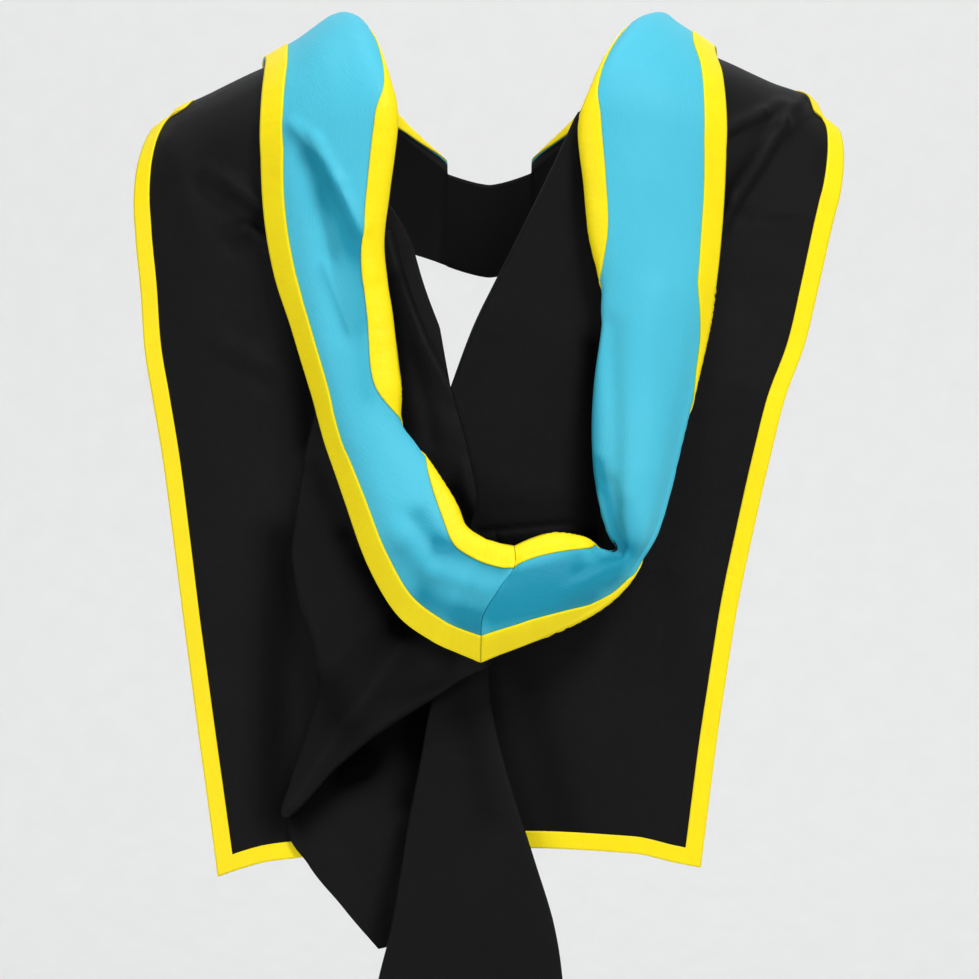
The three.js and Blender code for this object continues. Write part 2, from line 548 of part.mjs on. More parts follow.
function pocketGrid(name, side) {
  const ends = capeEnds(name, side);
  const corner = frontCape.length + foldSections[name][1];
  const first = frontCape.length + foldSections[name][0];
  const sections = pocketSections[name];
  const own = sections.filter((row) => row.innerX !== undefined);
  const shared = sections.length - own.length;
  const outers = sections.map((row) => seen(row.outerX, row.outerDown, row.stand * pocketDepth));
  const rows = [];
  const count = (shared - 1) * stepsPerSection;
  for (let step = 0; step <= count; step += 1) {
    const at = first + step / stepsPerSection;
    rows.push({
      inner: endAt(ends, "inner", at, corner),
      outer: rowAt(outers, at - first),
      stand: rowAt(sections.map((row) => ({ stand: row.stand })), at - first).stand,
      seam: at >= corner,
      free: at > corner,
    });
  }
  for (const [k, row] of own.entries()) {
    rows.push({
      inner: seen(row.innerX, row.innerDown, row.stand * pocketDepth),
      outer: outers[shared + k],
      stand: row.stand,
      seam: false,
      free: true,
    });
  }
  const seat = shellCloth + clearance;
  const points = [];
  const normals = [];
  for (const row of rows) {
    const shift = row.seam ? (side * clearance) / 2 : 0;
    const width = Math.hypot(row.outer.x - row.inner.x, row.outer.over - row.inner.over);
    const rollShare = Math.min(vRollReach / width, pocketShares[1] / 2);
    const level = row.stand * pocketDepth;
    const places = [pocketShares[0], rollShare, ...pocketShares.slice(1)].map((share) => ({
      x: mix(row.inner.x + shift, row.outer.x, share),
      over: mix(row.inner.over, row.outer.over, share),
      stand: share === 0 && !row.free ? seat : level,
      roll: share === rollShare && !row.free ? vRollHeight : 0,
      folded: share > 0,
    }));
    points.push(
      places.map((place) => {
        const point = formPoint(place.x, place.over);
        const fold = place.folded ? Math.max(foldLift(point, pocketFolds[name]), 0) : 0;
        return lifted(place.x, place.over, place.stand + place.roll + fold);
      }),
    );
    normals.push(places.map((place) => formNormal(place.x, place.over)));
  }
  return { points, normals };
}

// One section of the pocket's outer wall: from its end under the band up to the roll, round it, and
// down the turned-out face to the free edge. Places are x, over and stand.
function bandPath(row, name) {
  const roll = new THREE.Vector3(row.rollX, row.rollOver, row.rollStand);
  const edge = new THREE.Vector3(row.edgeX, row.edgeOver, row.edgeStand);
  const tuck = new THREE.Vector3(row.tuckX, row.tuckOver, row.tuckStand);
  const outward = edge.clone().sub(roll).setZ(0);
  const seenWidth = outward.length();
  outward.normalize();
  const tuckward = tuck.clone().sub(roll).setZ(0).normalize();
  const radius = Math.min(rollRadius, row.rollStand - row.tuckStand * rollClearShare);
  const rise = new THREE.Vector3(0, 0, radius);
  const below = roll.clone().addScaledVector(tuckward, radius * rollReach).sub(rise);
  const above = roll.clone().addScaledVector(outward, radius * rollReach).add(rise);
  const bulge = new THREE.Vector3(0, 0, row.bulge * bulgeShare);
  const nearRoll = above.clone().lerp(edge, bulgeStarts).add(bulge);
  const nearEdge = above.clone().lerp(edge, bulgeEnds).add(bulge);
  // The bag's outline is a fold: the wall turns half round it, down to just over the inside wall
  const turns = name === "left";
  const overPocket = pocketSections.left[1].stand * pocketDepth + shellCloth + clearance;
  const fullTurn = THREE.MathUtils.clamp((tuck.z - overPocket) / 2, bagTurnLeast, bagTurnMost);
  const turn = turns ? mix(bagTurnLeast, fullTurn, row.shut) : 0;
  const tuckIn = tuck.clone().addScaledVector(tuckward, -turn);
  const middle = below.clone().lerp(tuckIn, 0.5);
  const knots = [tuckIn, middle, below, roll, above, nearRoll, nearEdge, edge];
  const curve = new THREE.CatmullRomCurve3(knots);
  const rollAt = knots.indexOf(roll) * lineSamples;
  const points = [];
  const last = (knots.length - 1) * lineSamples;
  for (let k = 0; k <= last; k += 1) points.push(curve.getPoint(k / last));
  const back = points.slice(0, rollAt + 1).reverse();
  const ahead = points.slice(rollAt);
  const wallLength = lengthOf(back);
  for (let k = 1; turns && k <= lineSamples; k += 1) {
    const angle = (k / lineSamples) * Math.PI;
    const place = tuckIn.clone().addScaledVector(tuckward, turn * Math.sin(angle));
    place.z -= turn * (1 - Math.cos(angle));
    back.push(place);
  }
  if (row.under > leastTurnShare) {
    const end = edge.clone().addScaledVector(outward, -row.under * seenWidth);
    end.z -= foldOpening * Math.min(row.under / fullTurnShare, 1);
    for (let k = 1; k <= lineSamples; k += 1) ahead.push(edge.clone().lerp(end, k / lineSamples));
  }
  return { back, ahead, wallLength };
}

function lengthOf(path) {
  let length = 0;
  for (let k = 1; k < path.length; k += 1) length += path[k].distanceTo(path[k - 1]);
  return length;
}

function placeAlong(path, distance) {
  let left = distance;
  for (let k = 1; k < path.length; k += 1) {
    const step = path[k].distanceTo(path[k - 1]);
    if (left <= step) return path[k - 1].clone().lerp(path[k], step > 0 ? left / step : 0);
    left -= step;
  }
  return path[path.length - 1].clone();
}

function bandRows(name, side) {
  const front = frontBand.map((row, k) => ({ place: row, stand: frontStands[k], front: true }));
  const back = bandSections[name].map((row, k) => ({ place: row, stand: bandStands[name][k], front: false }));
  return front.concat(back).map(({ place, stand, front: isFront }) => {
    const at = (key, lift) =>
      isFront
        ? inFront(place[`${key}X`], place[`${key}Over`], side)
        : seen(place[`${key}X`], place[`${key}Down`], lift);
    const rollStand = stand.rollStand * pocketDepth;
    const edgeStand = stand.edgeStand * pocketDepth;
    const tuckStand = stand.tuckStand * pocketDepth;
    const roll = at("roll", rollStand);
    const edge = at("edge", edgeStand);
    const tuck = at("tuck", tuckStand);
    return {
      rollX: roll.x,
      rollOver: roll.over,
      rollStand,
      edgeX: edge.x,
      edgeOver: edge.over,
      edgeStand,
      tuckX: tuck.x,
      tuckOver: tuck.over,
      tuckStand,
      bulge: stand.bulge * pocketDepth,
      ribbon: stand.ribbon,
      under: stand.under,
      shut: stand.shut,
    };
  });
}

// Grid of the band's section lines. Columns: the wall under the band, the roll's ribbon, the blue
// facing, and the free edge's ribbon.
function bandGrid(name, side) {
  const table = bandRows(name, side);
  const last = table.length - 1;
  const points = stations(last).map((at) => {
    const row = rowAt(table, at);
    const { back, ahead, wallLength } = bandPath(row, name);
    const backLength = lengthOf(back);
    const aheadLength = lengthOf(ahead);
    const start = (bandRibbonShare - row.ribbon) * bandWidth;
    const ribbonEnd = row.ribbon * bandWidth;
    const outerStart = aheadLength - Math.min(bandRibbonWidth, aheadLength * outerRibbonMost);
    const along = (distance) => (distance < 0 ? placeAlong(back, -distance) : placeAlong(ahead, distance));
    const distances = bagTurnShares[name].map((share) => -mix(wallLength, backLength, share));
    distances.push(...underWallShares.map((share) => -mix(start, wallLength, share)));
    for (let k = 0; k <= ribbonSteps; k += 1) distances.push(mix(-start, ribbonEnd, k / ribbonSteps));
    for (let k = 1; k <= facingSteps; k += 1) distances.push(mix(ribbonEnd, outerStart, k / facingSteps));
    for (let k = 1; k <= outerRibbonSteps; k += 1) {
      distances.push(mix(outerStart, aheadLength, k / outerRibbonSteps));
    }
    const isEnd = at === 0 || at === last;
    const shift = isEnd ? side * (clearance / 2 + seamSlack) : 0;
    return distances.map((distance) => {
      const place = along(distance);
      const point = lifted(place.x, place.y, place.z);
      point.x += shift;
      return point;
    });
  });
  const flat = bandNormals(points, side);
  const faceStart = bagTurnShares[name].length + underWallShares.length;
  const folded = points.map((line, i) =>
    line.map((point, j) => {
      if (i === 0 || i === points.length - 1) return point.clone();
      const folds = j >= faceStart ? bandFolds[name] : bagFolds[name];
      const turned = j < bagTurnShares[name].length;
      return point.clone().addScaledVector(flat[i][j], turned ? 0 : foldLift(point, folds));
    }),
  );
  return { points: folded, normals: bandNormals(folded, side) };
}

// Normals of the band's grid, level across at its two ends, where the halves meet
function bandNormals(points, side) {
  const rows = points.length;
  const columns = points[0].length;
  return points.map((line, i) =>
    line.map((point, j) => {
      const across = line[Math.min(j + 1, columns - 1)].clone().sub(line[Math.max(j - 1, 0)]);
      let along = points[Math.min(i + 1, rows - 1)][j].clone().sub(points[Math.max(i - 1, 0)][j]);
      if (i === 0) along = new THREE.Vector3(side, 0, 0);
      if (i === rows - 1) along = new THREE.Vector3(-side, 0, 0);
      return along.cross(across).multiplyScalar(side).normalize();
    }),
  );
}

// The tail, a flattened tube: its sections are ellipses that follow the back, fuller at the sides
function liripipeGrid() {
  const rows = stations(liripipeSections.length - 1).map((at) => rowAt(liripipeSections, at));
  const points = [];
  const normals = [];
  for (const row of rows) {
    const down = liripipeTop * capeDrop + row.fall * liripipeLength;
    const middle = row.middle * shoulderHalfWidth;
    const over = overAt(middle, -down);
    const halfWidth = (row.width * liripipeWidth - shellCloth) / 2;
    const halfThick = (row.thick * liripipeThickness - shellCloth) / 2;
    const line = [];
    const facing = [];
    for (let k = 0; k < liripipeSides; k += 1) {
      const turn = ((k + 0.5) / liripipeSides) * 2 * Math.PI;
      const x = middle + halfWidth * Math.cos(turn);
      const lift = row.stand * pocketDepth + halfThick * Math.sin(turn);
      const point = lifted(x, over, lift);
      line.push(point);
      const away = formNormal(x, over).multiplyScalar(Math.sin(turn) / halfThick);
      away.x += Math.cos(turn) / halfWidth;
      facing.push(away.normalize());
    }
    points.push(line);
    normals.push(facing);
  }
  return { points, normals };
}

// The neckband: a folded strip across the front, between the ends of the two halves
function neckbandGrid() {
  const top = frontCape[0].innerOver;
  const foot = frontCape[0].outerOver;
  const half = frontCape[0].innerX * shoulderHalfWidth - clearance;
  const points = [];
  const normals = [];
  for (const across of neckbandShares) {
    const dip = neckbandDip * (1 - Math.abs(across));
    const places = [0, 0.5, 1].map((share) => ({
      x: across * half,
      over: -(mix(top, foot, share) * crownArc + dip),
    }));
    points.push(places.map((place) => formPoint(place.x, place.over)));
    normals.push(places.map((place) => formNormal(place.x, place.over).setX(0).normalize()));
  }
  return { points, normals };
}

const hood = new THREE.Group();

for (const [name, side] of [["left", -1], ["right", 1]]) {
  const shell = shellCloth / 2;
  const cape = capeGrid(name, side);
  const capeRows = cape.points.length - 1;
  const capeColumns = cape.points[0].length - 1;
  hood.add(wallMesh(`cape_${name}`, black, cape, -shell, shell, { side }));
  const edging = (i, j) => j === capeColumns - 1 || i === capeRows - 1;
  const edgeLow = shell + clearance;
  const edgeHigh = edgeLow + ribbonCloth;
  hood.add(wallMesh(`cape_ribbon_${name}`, yellow, cape, edgeLow, edgeHigh, { side, keep: edging }));

  const pocket = pocketGrid(name, side);
  hood.add(wallMesh(`pocket_back_${name}`, black, pocket, -shell, shell, { side }));

  const band = bandGrid(name, side);
  const facingStart = bagTurnShares[name].length + underWallShares.length;
  const ribbonStop = facingStart + ribbonSteps;
  const outerStart = ribbonStop + facingSteps;
  hood.add(wallMesh(`cowl_${name}`, black, band, -shell, shell, { side }));
  const facingLow = shell + clearance;
  const facingHigh = facingLow + facingCloth;
  const faced = (i, j) => j >= facingStart;
  hood.add(wallMesh(`facing_${name}`, blue, band, facingLow, facingHigh, { side, keep: faced }));
  const ribbonLow = facingHigh + clearance;
  const ribbonHigh = ribbonLow + ribbonCloth;
  const inner = (i, j) => j >= facingStart && j < ribbonStop;
  hood.add(wallMesh(`inner_ribbon_${name}`, yellow, band, ribbonLow, ribbonHigh, { side, keep: inner }));
  const outer = (i, j) => j >= outerStart;
  hood.add(wallMesh(`outer_ribbon_${name}`, yellow, band, ribbonLow, ribbonHigh, { side, keep: outer }));
}

const liripipeWall = { side: -1, wrap: true };
hood.add(wallMesh("liripipe", black, liripipeGrid(), -shellCloth / 2, shellCloth / 2, liripipeWall));
const neckbandBack = -shellCloth / 2;
const neckband = wallMesh("neckband", black, neckbandGrid(), neckbandBack, neckbandBack + neckbandThickness);
hood.add(neckband);

export default hood;
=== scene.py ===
import math
import bpy
import numpy as np
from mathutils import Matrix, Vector


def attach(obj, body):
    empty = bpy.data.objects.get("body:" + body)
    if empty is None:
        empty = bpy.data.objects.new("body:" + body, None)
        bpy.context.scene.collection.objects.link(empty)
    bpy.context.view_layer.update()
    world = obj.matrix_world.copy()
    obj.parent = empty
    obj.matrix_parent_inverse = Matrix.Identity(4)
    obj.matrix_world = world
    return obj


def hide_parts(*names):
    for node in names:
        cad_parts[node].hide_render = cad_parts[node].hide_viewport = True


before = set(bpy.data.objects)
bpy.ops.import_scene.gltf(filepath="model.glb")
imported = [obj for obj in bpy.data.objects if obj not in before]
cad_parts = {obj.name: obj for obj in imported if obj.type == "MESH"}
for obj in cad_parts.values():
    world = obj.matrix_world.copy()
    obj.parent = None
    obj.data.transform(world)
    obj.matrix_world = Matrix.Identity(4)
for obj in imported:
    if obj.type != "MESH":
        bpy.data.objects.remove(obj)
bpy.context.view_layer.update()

millimetre = 0.001  # the form and the cloth are in millimetres, the meshes in metres
print("frame loaded")

# The form under the cloth, in millimetres, as in the part
form = {
    "halfWidth": 250,
    "shoulderDrop": 95,
    "crownHeight": 70,
    "crownArc": 140,
    "backDepth": 105,
    "frontDepth": 98,
    "rounding": 0.42,
    "roundingPower": 2.2,
    "hangSlope": 0.03,
    "capeDrop": 600,
    "pocketDepth": 60,
}

# out as a share of the half width, left and right fall as shares of the shoulder drop
shoulderLine = np.array([
    [0, 0, 0], [0.4, 0.15, 0.1], [0.52, 0.265, 0.19], [0.64, 0.36, 0.28], [0.8, 0.56, 0.47],
    [0.9, 0.69, 0.575], [1, 0.89, 0.8],
])


# A cubic from start to end as t goes from 0 to 1, with the slopes it leaves and arrives with:
# start (1 + 2t)(1 - t)^2 + end t^2 (3 - 2t) + slopeStart t (1 - t)^2 - slopeEnd t^2 (1 - t)
def cubic(start, end, slopeStart, slopeEnd, t):
    return (start * (1 + 2 * t) * (1 - t) ** 2 + end * t * t * (3 - 2 * t)
            + slopeStart * t * (1 - t) ** 2 - slopeEnd * t * t * (1 - t))


# A smooth curve through evenly spaced rows: cubics whose slopes are half the step between neighbours
def smoothRows(rows, at):
    rows = np.asarray(rows, float)
    at = np.asarray(at, float)
    padded = np.vstack([2 * rows[:1] - rows[1:2], rows, 2 * rows[-1:] - rows[-2:-1]])
    first = np.clip(np.floor(at).astype(int), 0, len(rows) - 2)
    before, start, end, after = (padded[first + k] for k in range(4))
    return cubic(start, end, (end - before) / 2, (after - start) / 2, (at - first)[:, None])


# Height of the shoulder line: cubics through the table, level at the neck, then on at the last slope
def shoulderZ(x):
    out = shoulderLine[:, 0]
    share = np.abs(x) / form["halfWidth"]
    row = np.clip(np.searchsorted(out, share, side="left") - 1, 0, len(out) - 2)
    span = out[row + 1] - out[row]
    t = np.clip((share - out[row]) / span, 0, 1)
    heights = []
    for fall in shoulderLine[:, 1:].T:
        slope = np.zeros(len(out))
        slope[1:-1] = (fall[2:] - fall[:-2]) / (out[2:] - out[:-2])
        slope[-1] = (fall[-1] - fall[-2]) / (out[-1] - out[-2])
        down = cubic(fall[row], fall[row + 1], span * slope[row], span * slope[row + 1], t)
        heights.append(-form["shoulderDrop"] * (down + np.maximum(share - 1, 0) * slope[-1]))
    return np.where(np.asarray(x) < 0, heights[0], heights[1])


# The form: a quarter ellipse over the shoulder, front or back, then straight down with a slight lean:
# y = depth sin(turn) + lean * hang, z = shoulder - crown (1 - cos(turn)) - hang
def formPoint(x, over):
    share = np.abs(x) / form["halfWidth"]
    reach = np.abs(over)
    depth = np.where(over > 0, form["backDepth"], form["frontDepth"])
    turn = np.minimum(reach / form["crownArc"], 1) * math.pi / 2
    hang = np.maximum(reach - form["crownArc"], 0)
    depth = depth * (1 - form["rounding"] * share ** form["roundingPower"])
    y = depth * np.sin(turn) + hang * form["hangSlope"] * (1 + share ** 2)
    z = shoulderZ(x) - form["crownHeight"] * (1 - np.cos(turn)) - hang
    return np.stack([x + 0 * y, np.where(over > 0, -y, y), z], -1)


# Vectors over their lengths
def unit(vectors):
    return vectors / np.maximum(np.linalg.norm(vectors, axis=-1, keepdims=True), 1e-9)


# The form's normal: the cross product of its differences along and across
def formNormal(x, over):
    across = formPoint(x + 1, over) - formPoint(x - 1, over)
    along = formPoint(x, over + 1) - formPoint(x, over - 1)
    return unit(np.cross(along, across))


# A place lifted off the form: point + normal * stand
def lifted(x, over, stand):
    return formPoint(x, over) + formNormal(x, over) * np.asarray(stand)[..., None]


# How far over the form a height lies: the turn is acos(1 - drop / crown), and beyond it the drop counts
def overAt(x, z):
    drop = np.maximum(shoulderZ(x) - z, 0)
    turn = np.arccos(1 - np.minimum(drop / form["crownHeight"], 1))
    return turn / (math.pi / 2) * form["crownArc"] + np.maximum(drop - form["crownHeight"], 0)


# The place on the form whose lifted point is seen at x, z from behind: what is missing is added six times
def seen(xShare, downShare, stand):
    x = np.asarray(xShare, float) * form["halfWidth"]
    z = -np.asarray(downShare, float) * form["capeDrop"]
    atX, atZ = x.copy(), z.copy()
    for turn in range(6):
        point = lifted(atX, overAt(atX, atZ), np.asarray(stand, float) + 0 * atX)
        atX = atX + x - point[..., 0]
        atZ = np.minimum(atZ + z - point[..., 2], shoulderZ(atX))
    return atX, overAt(atX, atZ)


print("form ready")


# Lengths along each row of points, from its first point
def lengthsAlong(points):
    steps = np.linalg.norm(np.diff(points, axis=1), axis=-1)
    return np.concatenate([np.zeros((len(points), 1)), np.cumsum(steps, axis=1)], axis=1)


# The points of each row's line at the given distances along it
def alongLines(lines, distances):
    lengths = lengthsAlong(lines)
    distances = np.clip(distances, 0, lengths[:, -1:])
    after = (lengths[:, None, :] < distances[:, :, None]).sum(-1)
    after = np.clip(after, 1, lines.shape[1] - 1)
    rows = np.arange(len(lines))[:, None]
    start, end = lengths[rows, after - 1], lengths[rows, after]
    share = ((distances - start) / np.maximum(end - start, 1e-9))[..., None]
    return lines[rows, after - 1] * (1 - share) + lines[rows, after] * share


# A smooth line through each row's points: cubics whose slopes allow for uneven spacing,
# slope = ((b - a) / g0 - (c - a) / (g0 + g1) + (c - b) / g1) g1, g the roots of the distances
def smoothLines(rows, samples):
    past = 2 * rows[:, -1:] - rows[:, -2:-1]
    padded = np.concatenate([2 * rows[:, :1] - rows[:, 1:2], rows, past], axis=1)
    gaps = np.sqrt(np.linalg.norm(np.diff(padded, axis=1), axis=-1))[..., None] + 1e-6
    t = np.linspace(0, 1, samples, endpoint=False)[:, None]
    pieces = []
    for k in range(rows.shape[1] - 1):
        before, start, end, after = (padded[:, k + m] for m in range(4))
        g0, g1, g2 = (gaps[:, k + m] for m in range(3))
        slopeStart = ((start - before) / g0 - (end - before) / (g0 + g1) + (end - start) / g1) * g1
        slopeEnd = ((end - start) / g1 - (after - start) / (g1 + g2) + (after - end) / g2) * g1
        pieces.append(cubic(*(v[:, None, :] for v in (start, end, slopeStart, slopeEnd)), t))
    return np.concatenate(pieces + [rows[:, -1:]], axis=1)


# A grid between two edges: inner (1 - share) + outer share
def between(inner, outer, share):
    return inner[:, None] * (1 - share) + outer[:, None] * share


# Where points are seen by a line: the share along it, the distance from it, and how far to its left
def besideLine(points, fromX, fromZ, toX, toZ):
    line = np.array([toX - fromX, toZ - fromZ])
    offset = points[..., [0, 2]] - np.array([fromX, fromZ])
    along = (offset @ line) / (line @ line)
    away = np.linalg.norm(offset - np.clip(along, 0, 1)[..., None] * line, axis=-1)
    aside = (line[0] * offset[..., 1] - line[1] * offset[..., 0]) / math.sqrt(line @ line)
    return along, away, aside


foldFade = {"level": 1.15, "slope": 0.6}


# Ridges and hollows: height * exp(-(away / width)^2) each, times level - slope |along - 0.5|, from 0 to 1.
# Columns: from x, from z, to x, to z, height, width. Only what lies behind the shoulders is moved.
def foldHeight(points, folds):
    total = np.zeros(points.shape[:-1])
    for *ends, height, width in folds:
        along, away, _ = besideLine(points, *ends)
        fade = np.clip(foldFade["level"] - np.abs(along - 0.5) * foldFade["slope"], 0, 1)
        total += height * np.exp(-(away / width) ** 2) * fade
    return total * (points[..., 1] < 0)


# Normals of a grid of points: the cross product of its two directions, one-sided at the borders.
# endAlong gives the direction along the first and last rows where they meet another piece.
def gridNormals(points, side, endAlong=(None, None), wrap=False):
    along = np.gradient(points, axis=0)
    if wrap:
        across = np.roll(points, -1, axis=1) - np.roll(points, 1, axis=1)
    else:
        across = np.gradient(points, axis=1)
    for row, direction in zip((0, -1), endAlong):
        if direction is not None:
            along[row] = direction
    return unit(np.cross(along, across) * side)


# A wall of cloth on a grid: its faces are points + normals * low and * high, and rims join them.
# uv is in metres along and across the cloth.
def clothWall(name, points, normals, low, high, uv, side, wrap=False):
    top, bottom = (points + normals * np.asarray(stand, float)[..., None] for stand in (high, low))
    index = np.arange(points[..., 0].size).reshape(points.shape[:2])
    count = index.size
    right = np.roll(index, -1, axis=1) if wrap else index[:, 1:]
    left = index if wrap else index[:, :-1]

    def rim(start, end):
        return np.stack([start, start + count, end + count, end], -1)

    quads = np.stack([left[:-1], left[1:], right[1:], right[:-1]], -1).reshape(-1, 4)
    rims = [rim(right[0], left[0]), rim(left[-1], right[-1])]
    if not wrap:
        rims += [rim(index[:-1, 0], index[1:, 0]), rim(index[1:, -1], index[:-1, -1])]
    faces = np.concatenate([quads, quads[:, ::-1] + count] + rims)
    if side < 0:
        faces = faces[:, ::-1]
    vertices = np.concatenate([top.reshape(-1, 3), bottom.reshape(-1, 3)]) * millimetre
    return meshObject(name, vertices, faces, np.tile(uv.reshape(-1, 2), (2, 1)))


# A mesh written from whole arrays of vertices, faces and places on the cloth map
def meshObject(name, vertices, faces, places):
    mesh = bpy.data.meshes.new(name)
    mesh.vertices.add(len(vertices))
    mesh.vertices.foreach_set("co", np.ascontiguousarray(vertices, np.float32).ravel())
    corners = faces.shape[1]
    mesh.loops.add(faces.size)
    mesh.loops.foreach_set("vertex_index", faces.astype(np.int32).ravel())
    mesh.polygons.add(len(faces))
    mesh.polygons.foreach_set("loop_start", np.arange(0, faces.size, corners, dtype=np.int32))
    mesh.polygons.foreach_set("loop_total", np.full(len(faces), corners, np.int32))
    mesh.polygons.foreach_set("use_smooth", np.ones(len(faces), bool))
    mesh.update(calc_edges=True)
    layer = mesh.uv_layers.new(name="cloth")
    layer.data.foreach_set("uv", places[faces.ravel()].astype(np.float32).ravel())
    mesh.validate()
    thing = bpy.data.objects.new(name, mesh)
    bpy.context.scene.collection.objects.link(thing)
    return thing


# Metres along and across a grid: mean lengths down the rows, own lengths across them
def clothPlaces(points):
    down = np.concatenate([[0], np.cumsum(np.linalg.norm(np.diff(points, axis=0), axis=-1).mean(1))])
    across = lengthsAlong(points)
    return np.stack([np.broadcast_to(down[:, None], across.shape), across], -1) * millimetre


# A wall with its own map, and its points
def ownWall(name, points, normals, low, high, side):
    return clothWall(name, points, normals, low, high, clothPlaces(points), side), points


# The cloth's area in square metres: the sum of its cells' cross products
def clothArea(points):
    down = np.diff(points, axis=0)[:, :-1]
    across = np.diff(points, axis=1)[:-1]
    return float(np.linalg.norm(np.cross(down, across), axis=-1).sum() * millimetre ** 2)


# Painted shade: the soft edge of a one-sided band of painted shade
hollowShore = 3  # over how many millimetres a one-sided hollow ends at its line


# Painted shade: how far the colour is darkened towards its shade colour, depth * exp(-(away / width)^2)
# each, one-sided where the last column says.
# Written as the mesh attribute of painted shade on the face that is seen, the lower one of a turned cloth.
def markPaintedShade(piece, points, rows, turned):
    total = np.zeros(points.shape[:-1])
    for *ends, depth, width, oneSided in rows:
        _, away, aside = besideLine(points, *ends)
        shore = np.where(oneSided, np.clip(0.5 - aside / hollowShore, 0, 1), 1)
        total += depth * np.exp(-(away / width) ** 2) * shore
    total = np.clip(total, 0, 1).ravel()
    layer = piece.data.attributes.new("hollow", "FLOAT", "POINT")
    both = np.concatenate([total * (1 - turned), total * turned])
    layer.data.foreach_set("value", both.astype(np.float32))


print("cloth tools ready")


# Front of the hood, mirrored: x as a share of the half width, over as a share of the crown arc
frontCape = np.array([
    [0.12, 1.24, 0.12, 1.72], [0.28, 0.92, 0.58, 1.28], [0.39, 0.42, 0.85, 0.58],
])
frontBand = np.array([
    [0.12, 1.2, 0.12, 1.64, 0.12, 1.42], [0.265, 0.9, 0.5, 1.12, 0.38, 1.01],
    [0.405, 0.42, 0.63, 0.46, 0.5, 0.44],
])
# Columns: roll, bulge, edge and tuck stands as shares of the pocket depth, ribbon share, turned-under share
frontStands = np.array([
    [0.16, 0.02, 0.13, 0.09, 0.19, 0], [0.19, 0.04, 0.12, 0.09, 0.1, 0],
    [0.21, 0.02, 0.1, 0.11, -0.02, 0],
])

# Columns: inner x, inner down, outer x, outer down
capeSections = {
    "left": np.array([
        [-0.36, 0, -0.896, 0.112], [-0.325, 0.07, -0.955, 0.132], [-0.305, 0.135, -0.99, 0.17],
        [-0.31, 0.2, -1, 0.215], [-0.273, 0.254, -0.995, 0.262], [-0.225, 0.324, -0.98, 0.325],
        [-0.165, 0.388, -0.968, 0.394], [-0.108, 0.44, -0.945, 0.452], [-0.085, 0.511, -0.915, 0.528],
        [-0.053, 0.604, -0.885, 0.622], [-0.024, 0.71, -0.855, 0.721], [-0.007, 0.826, -0.815, 0.843],
        [0, 0.976, -0.76, 1.009],
    ]),
    "right": np.array([
        [0.42, 0, 0.945, 0.115], [0.33, 0.07, 0.988, 0.134], [0.25, 0.117, 1, 0.165],
        [0.175, 0.182, 0.988, 0.21], [0.097, 0.249, 0.957, 0.262], [0.02, 0.313, 0.922, 0.327],
        [-0.045, 0.369, 0.885, 0.389], [-0.108, 0.44, 0.83, 0.45], [-0.085, 0.511, 0.79, 0.515],
        [-0.053, 0.604, 0.743, 0.6], [-0.024, 0.71, 0.69, 0.705], [-0.007, 0.826, 0.643, 0.828],
        [0, 0.976, 0.59, 0.998],
    ]),
}
vFoot = 7  # the section where the V fold ends and the centre seam begins
vStart = {"left": 4, "right": 2}

# Columns: roll x, roll down, edge x, edge down, tuck x, tuck down
bandSections = {
    "left": np.array([
        [-0.39, 0, -0.63, 0.054, -0.51, 0.03], [-0.295, 0.069, -0.637, 0.103, -0.46, 0.087],
        [-0.267, 0.126, -0.637, 0.158, -0.45, 0.143], [-0.29, 0.208, -0.626, 0.233, -0.46, 0.22],
        [-0.304, 0.278, -0.595, 0.307, -0.48, 0.294], [-0.279, 0.359, -0.547, 0.369, -0.5, 0.366],
        [-0.256, 0.435, -0.491, 0.442, -0.48, 0.447], [-0.254, 0.478, -0.469, 0.476, -0.495, 0.48],
        [-0.207, 0.507, -0.447, 0.509, -0.514, 0.511], [-0.155, 0.537, -0.391, 0.575, -0.547, 0.593],
        [-0.102, 0.573, -0.329, 0.646, -0.553, 0.657], [-0.071, 0.602, -0.251, 0.7, -0.469, 0.775],
        [-0.02, 0.617, -0.155, 0.73, -0.581, 0.937], [0.025, 0.623, -0.083, 0.744, -0.323, 0.841],
        [0.069, 0.627, -0.024, 0.754, -0.013, 0.765],
    ]),
    "right": np.array([
        [0.449, 0, 0.634, 0.041, 0.54, 0.02], [0.304, 0.076, 0.651, 0.071, 0.48, 0.073],
        [0.259, 0.13, 0.659, 0.132, 0.46, 0.131], [0.273, 0.198, 0.654, 0.193, 0.46, 0.195],
        [0.287, 0.26, 0.643, 0.258, 0.47, 0.259], [0.32, 0.319, 0.629, 0.314, 0.5, 0.316],
        [0.315, 0.362, 0.609, 0.371, 0.5, 0.367], [0.298, 0.429, 0.564, 0.452, 0.49, 0.445],
        [0.29, 0.496, 0.531, 0.506, 0.47, 0.504], [0.3, 0.56, 0.497, 0.563, 0.46, 0.562],
        [0.325, 0.602, 0.462, 0.609, 0.43, 0.607], [0.343, 0.624, 0.421, 0.638, 0.4, 0.634],
        [0.305, 0.625, 0.385, 0.663, 0.365, 0.655], [0.253, 0.615, 0.33, 0.685, 0.313, 0.67],
        [0.186, 0.611, 0.24, 0.708, 0.228, 0.69], [0.127, 0.617, 0.108, 0.732, 0.11, 0.72],
        [0.069, 0.627, -0.024, 0.754, -0.013, 0.765],
    ]),
}
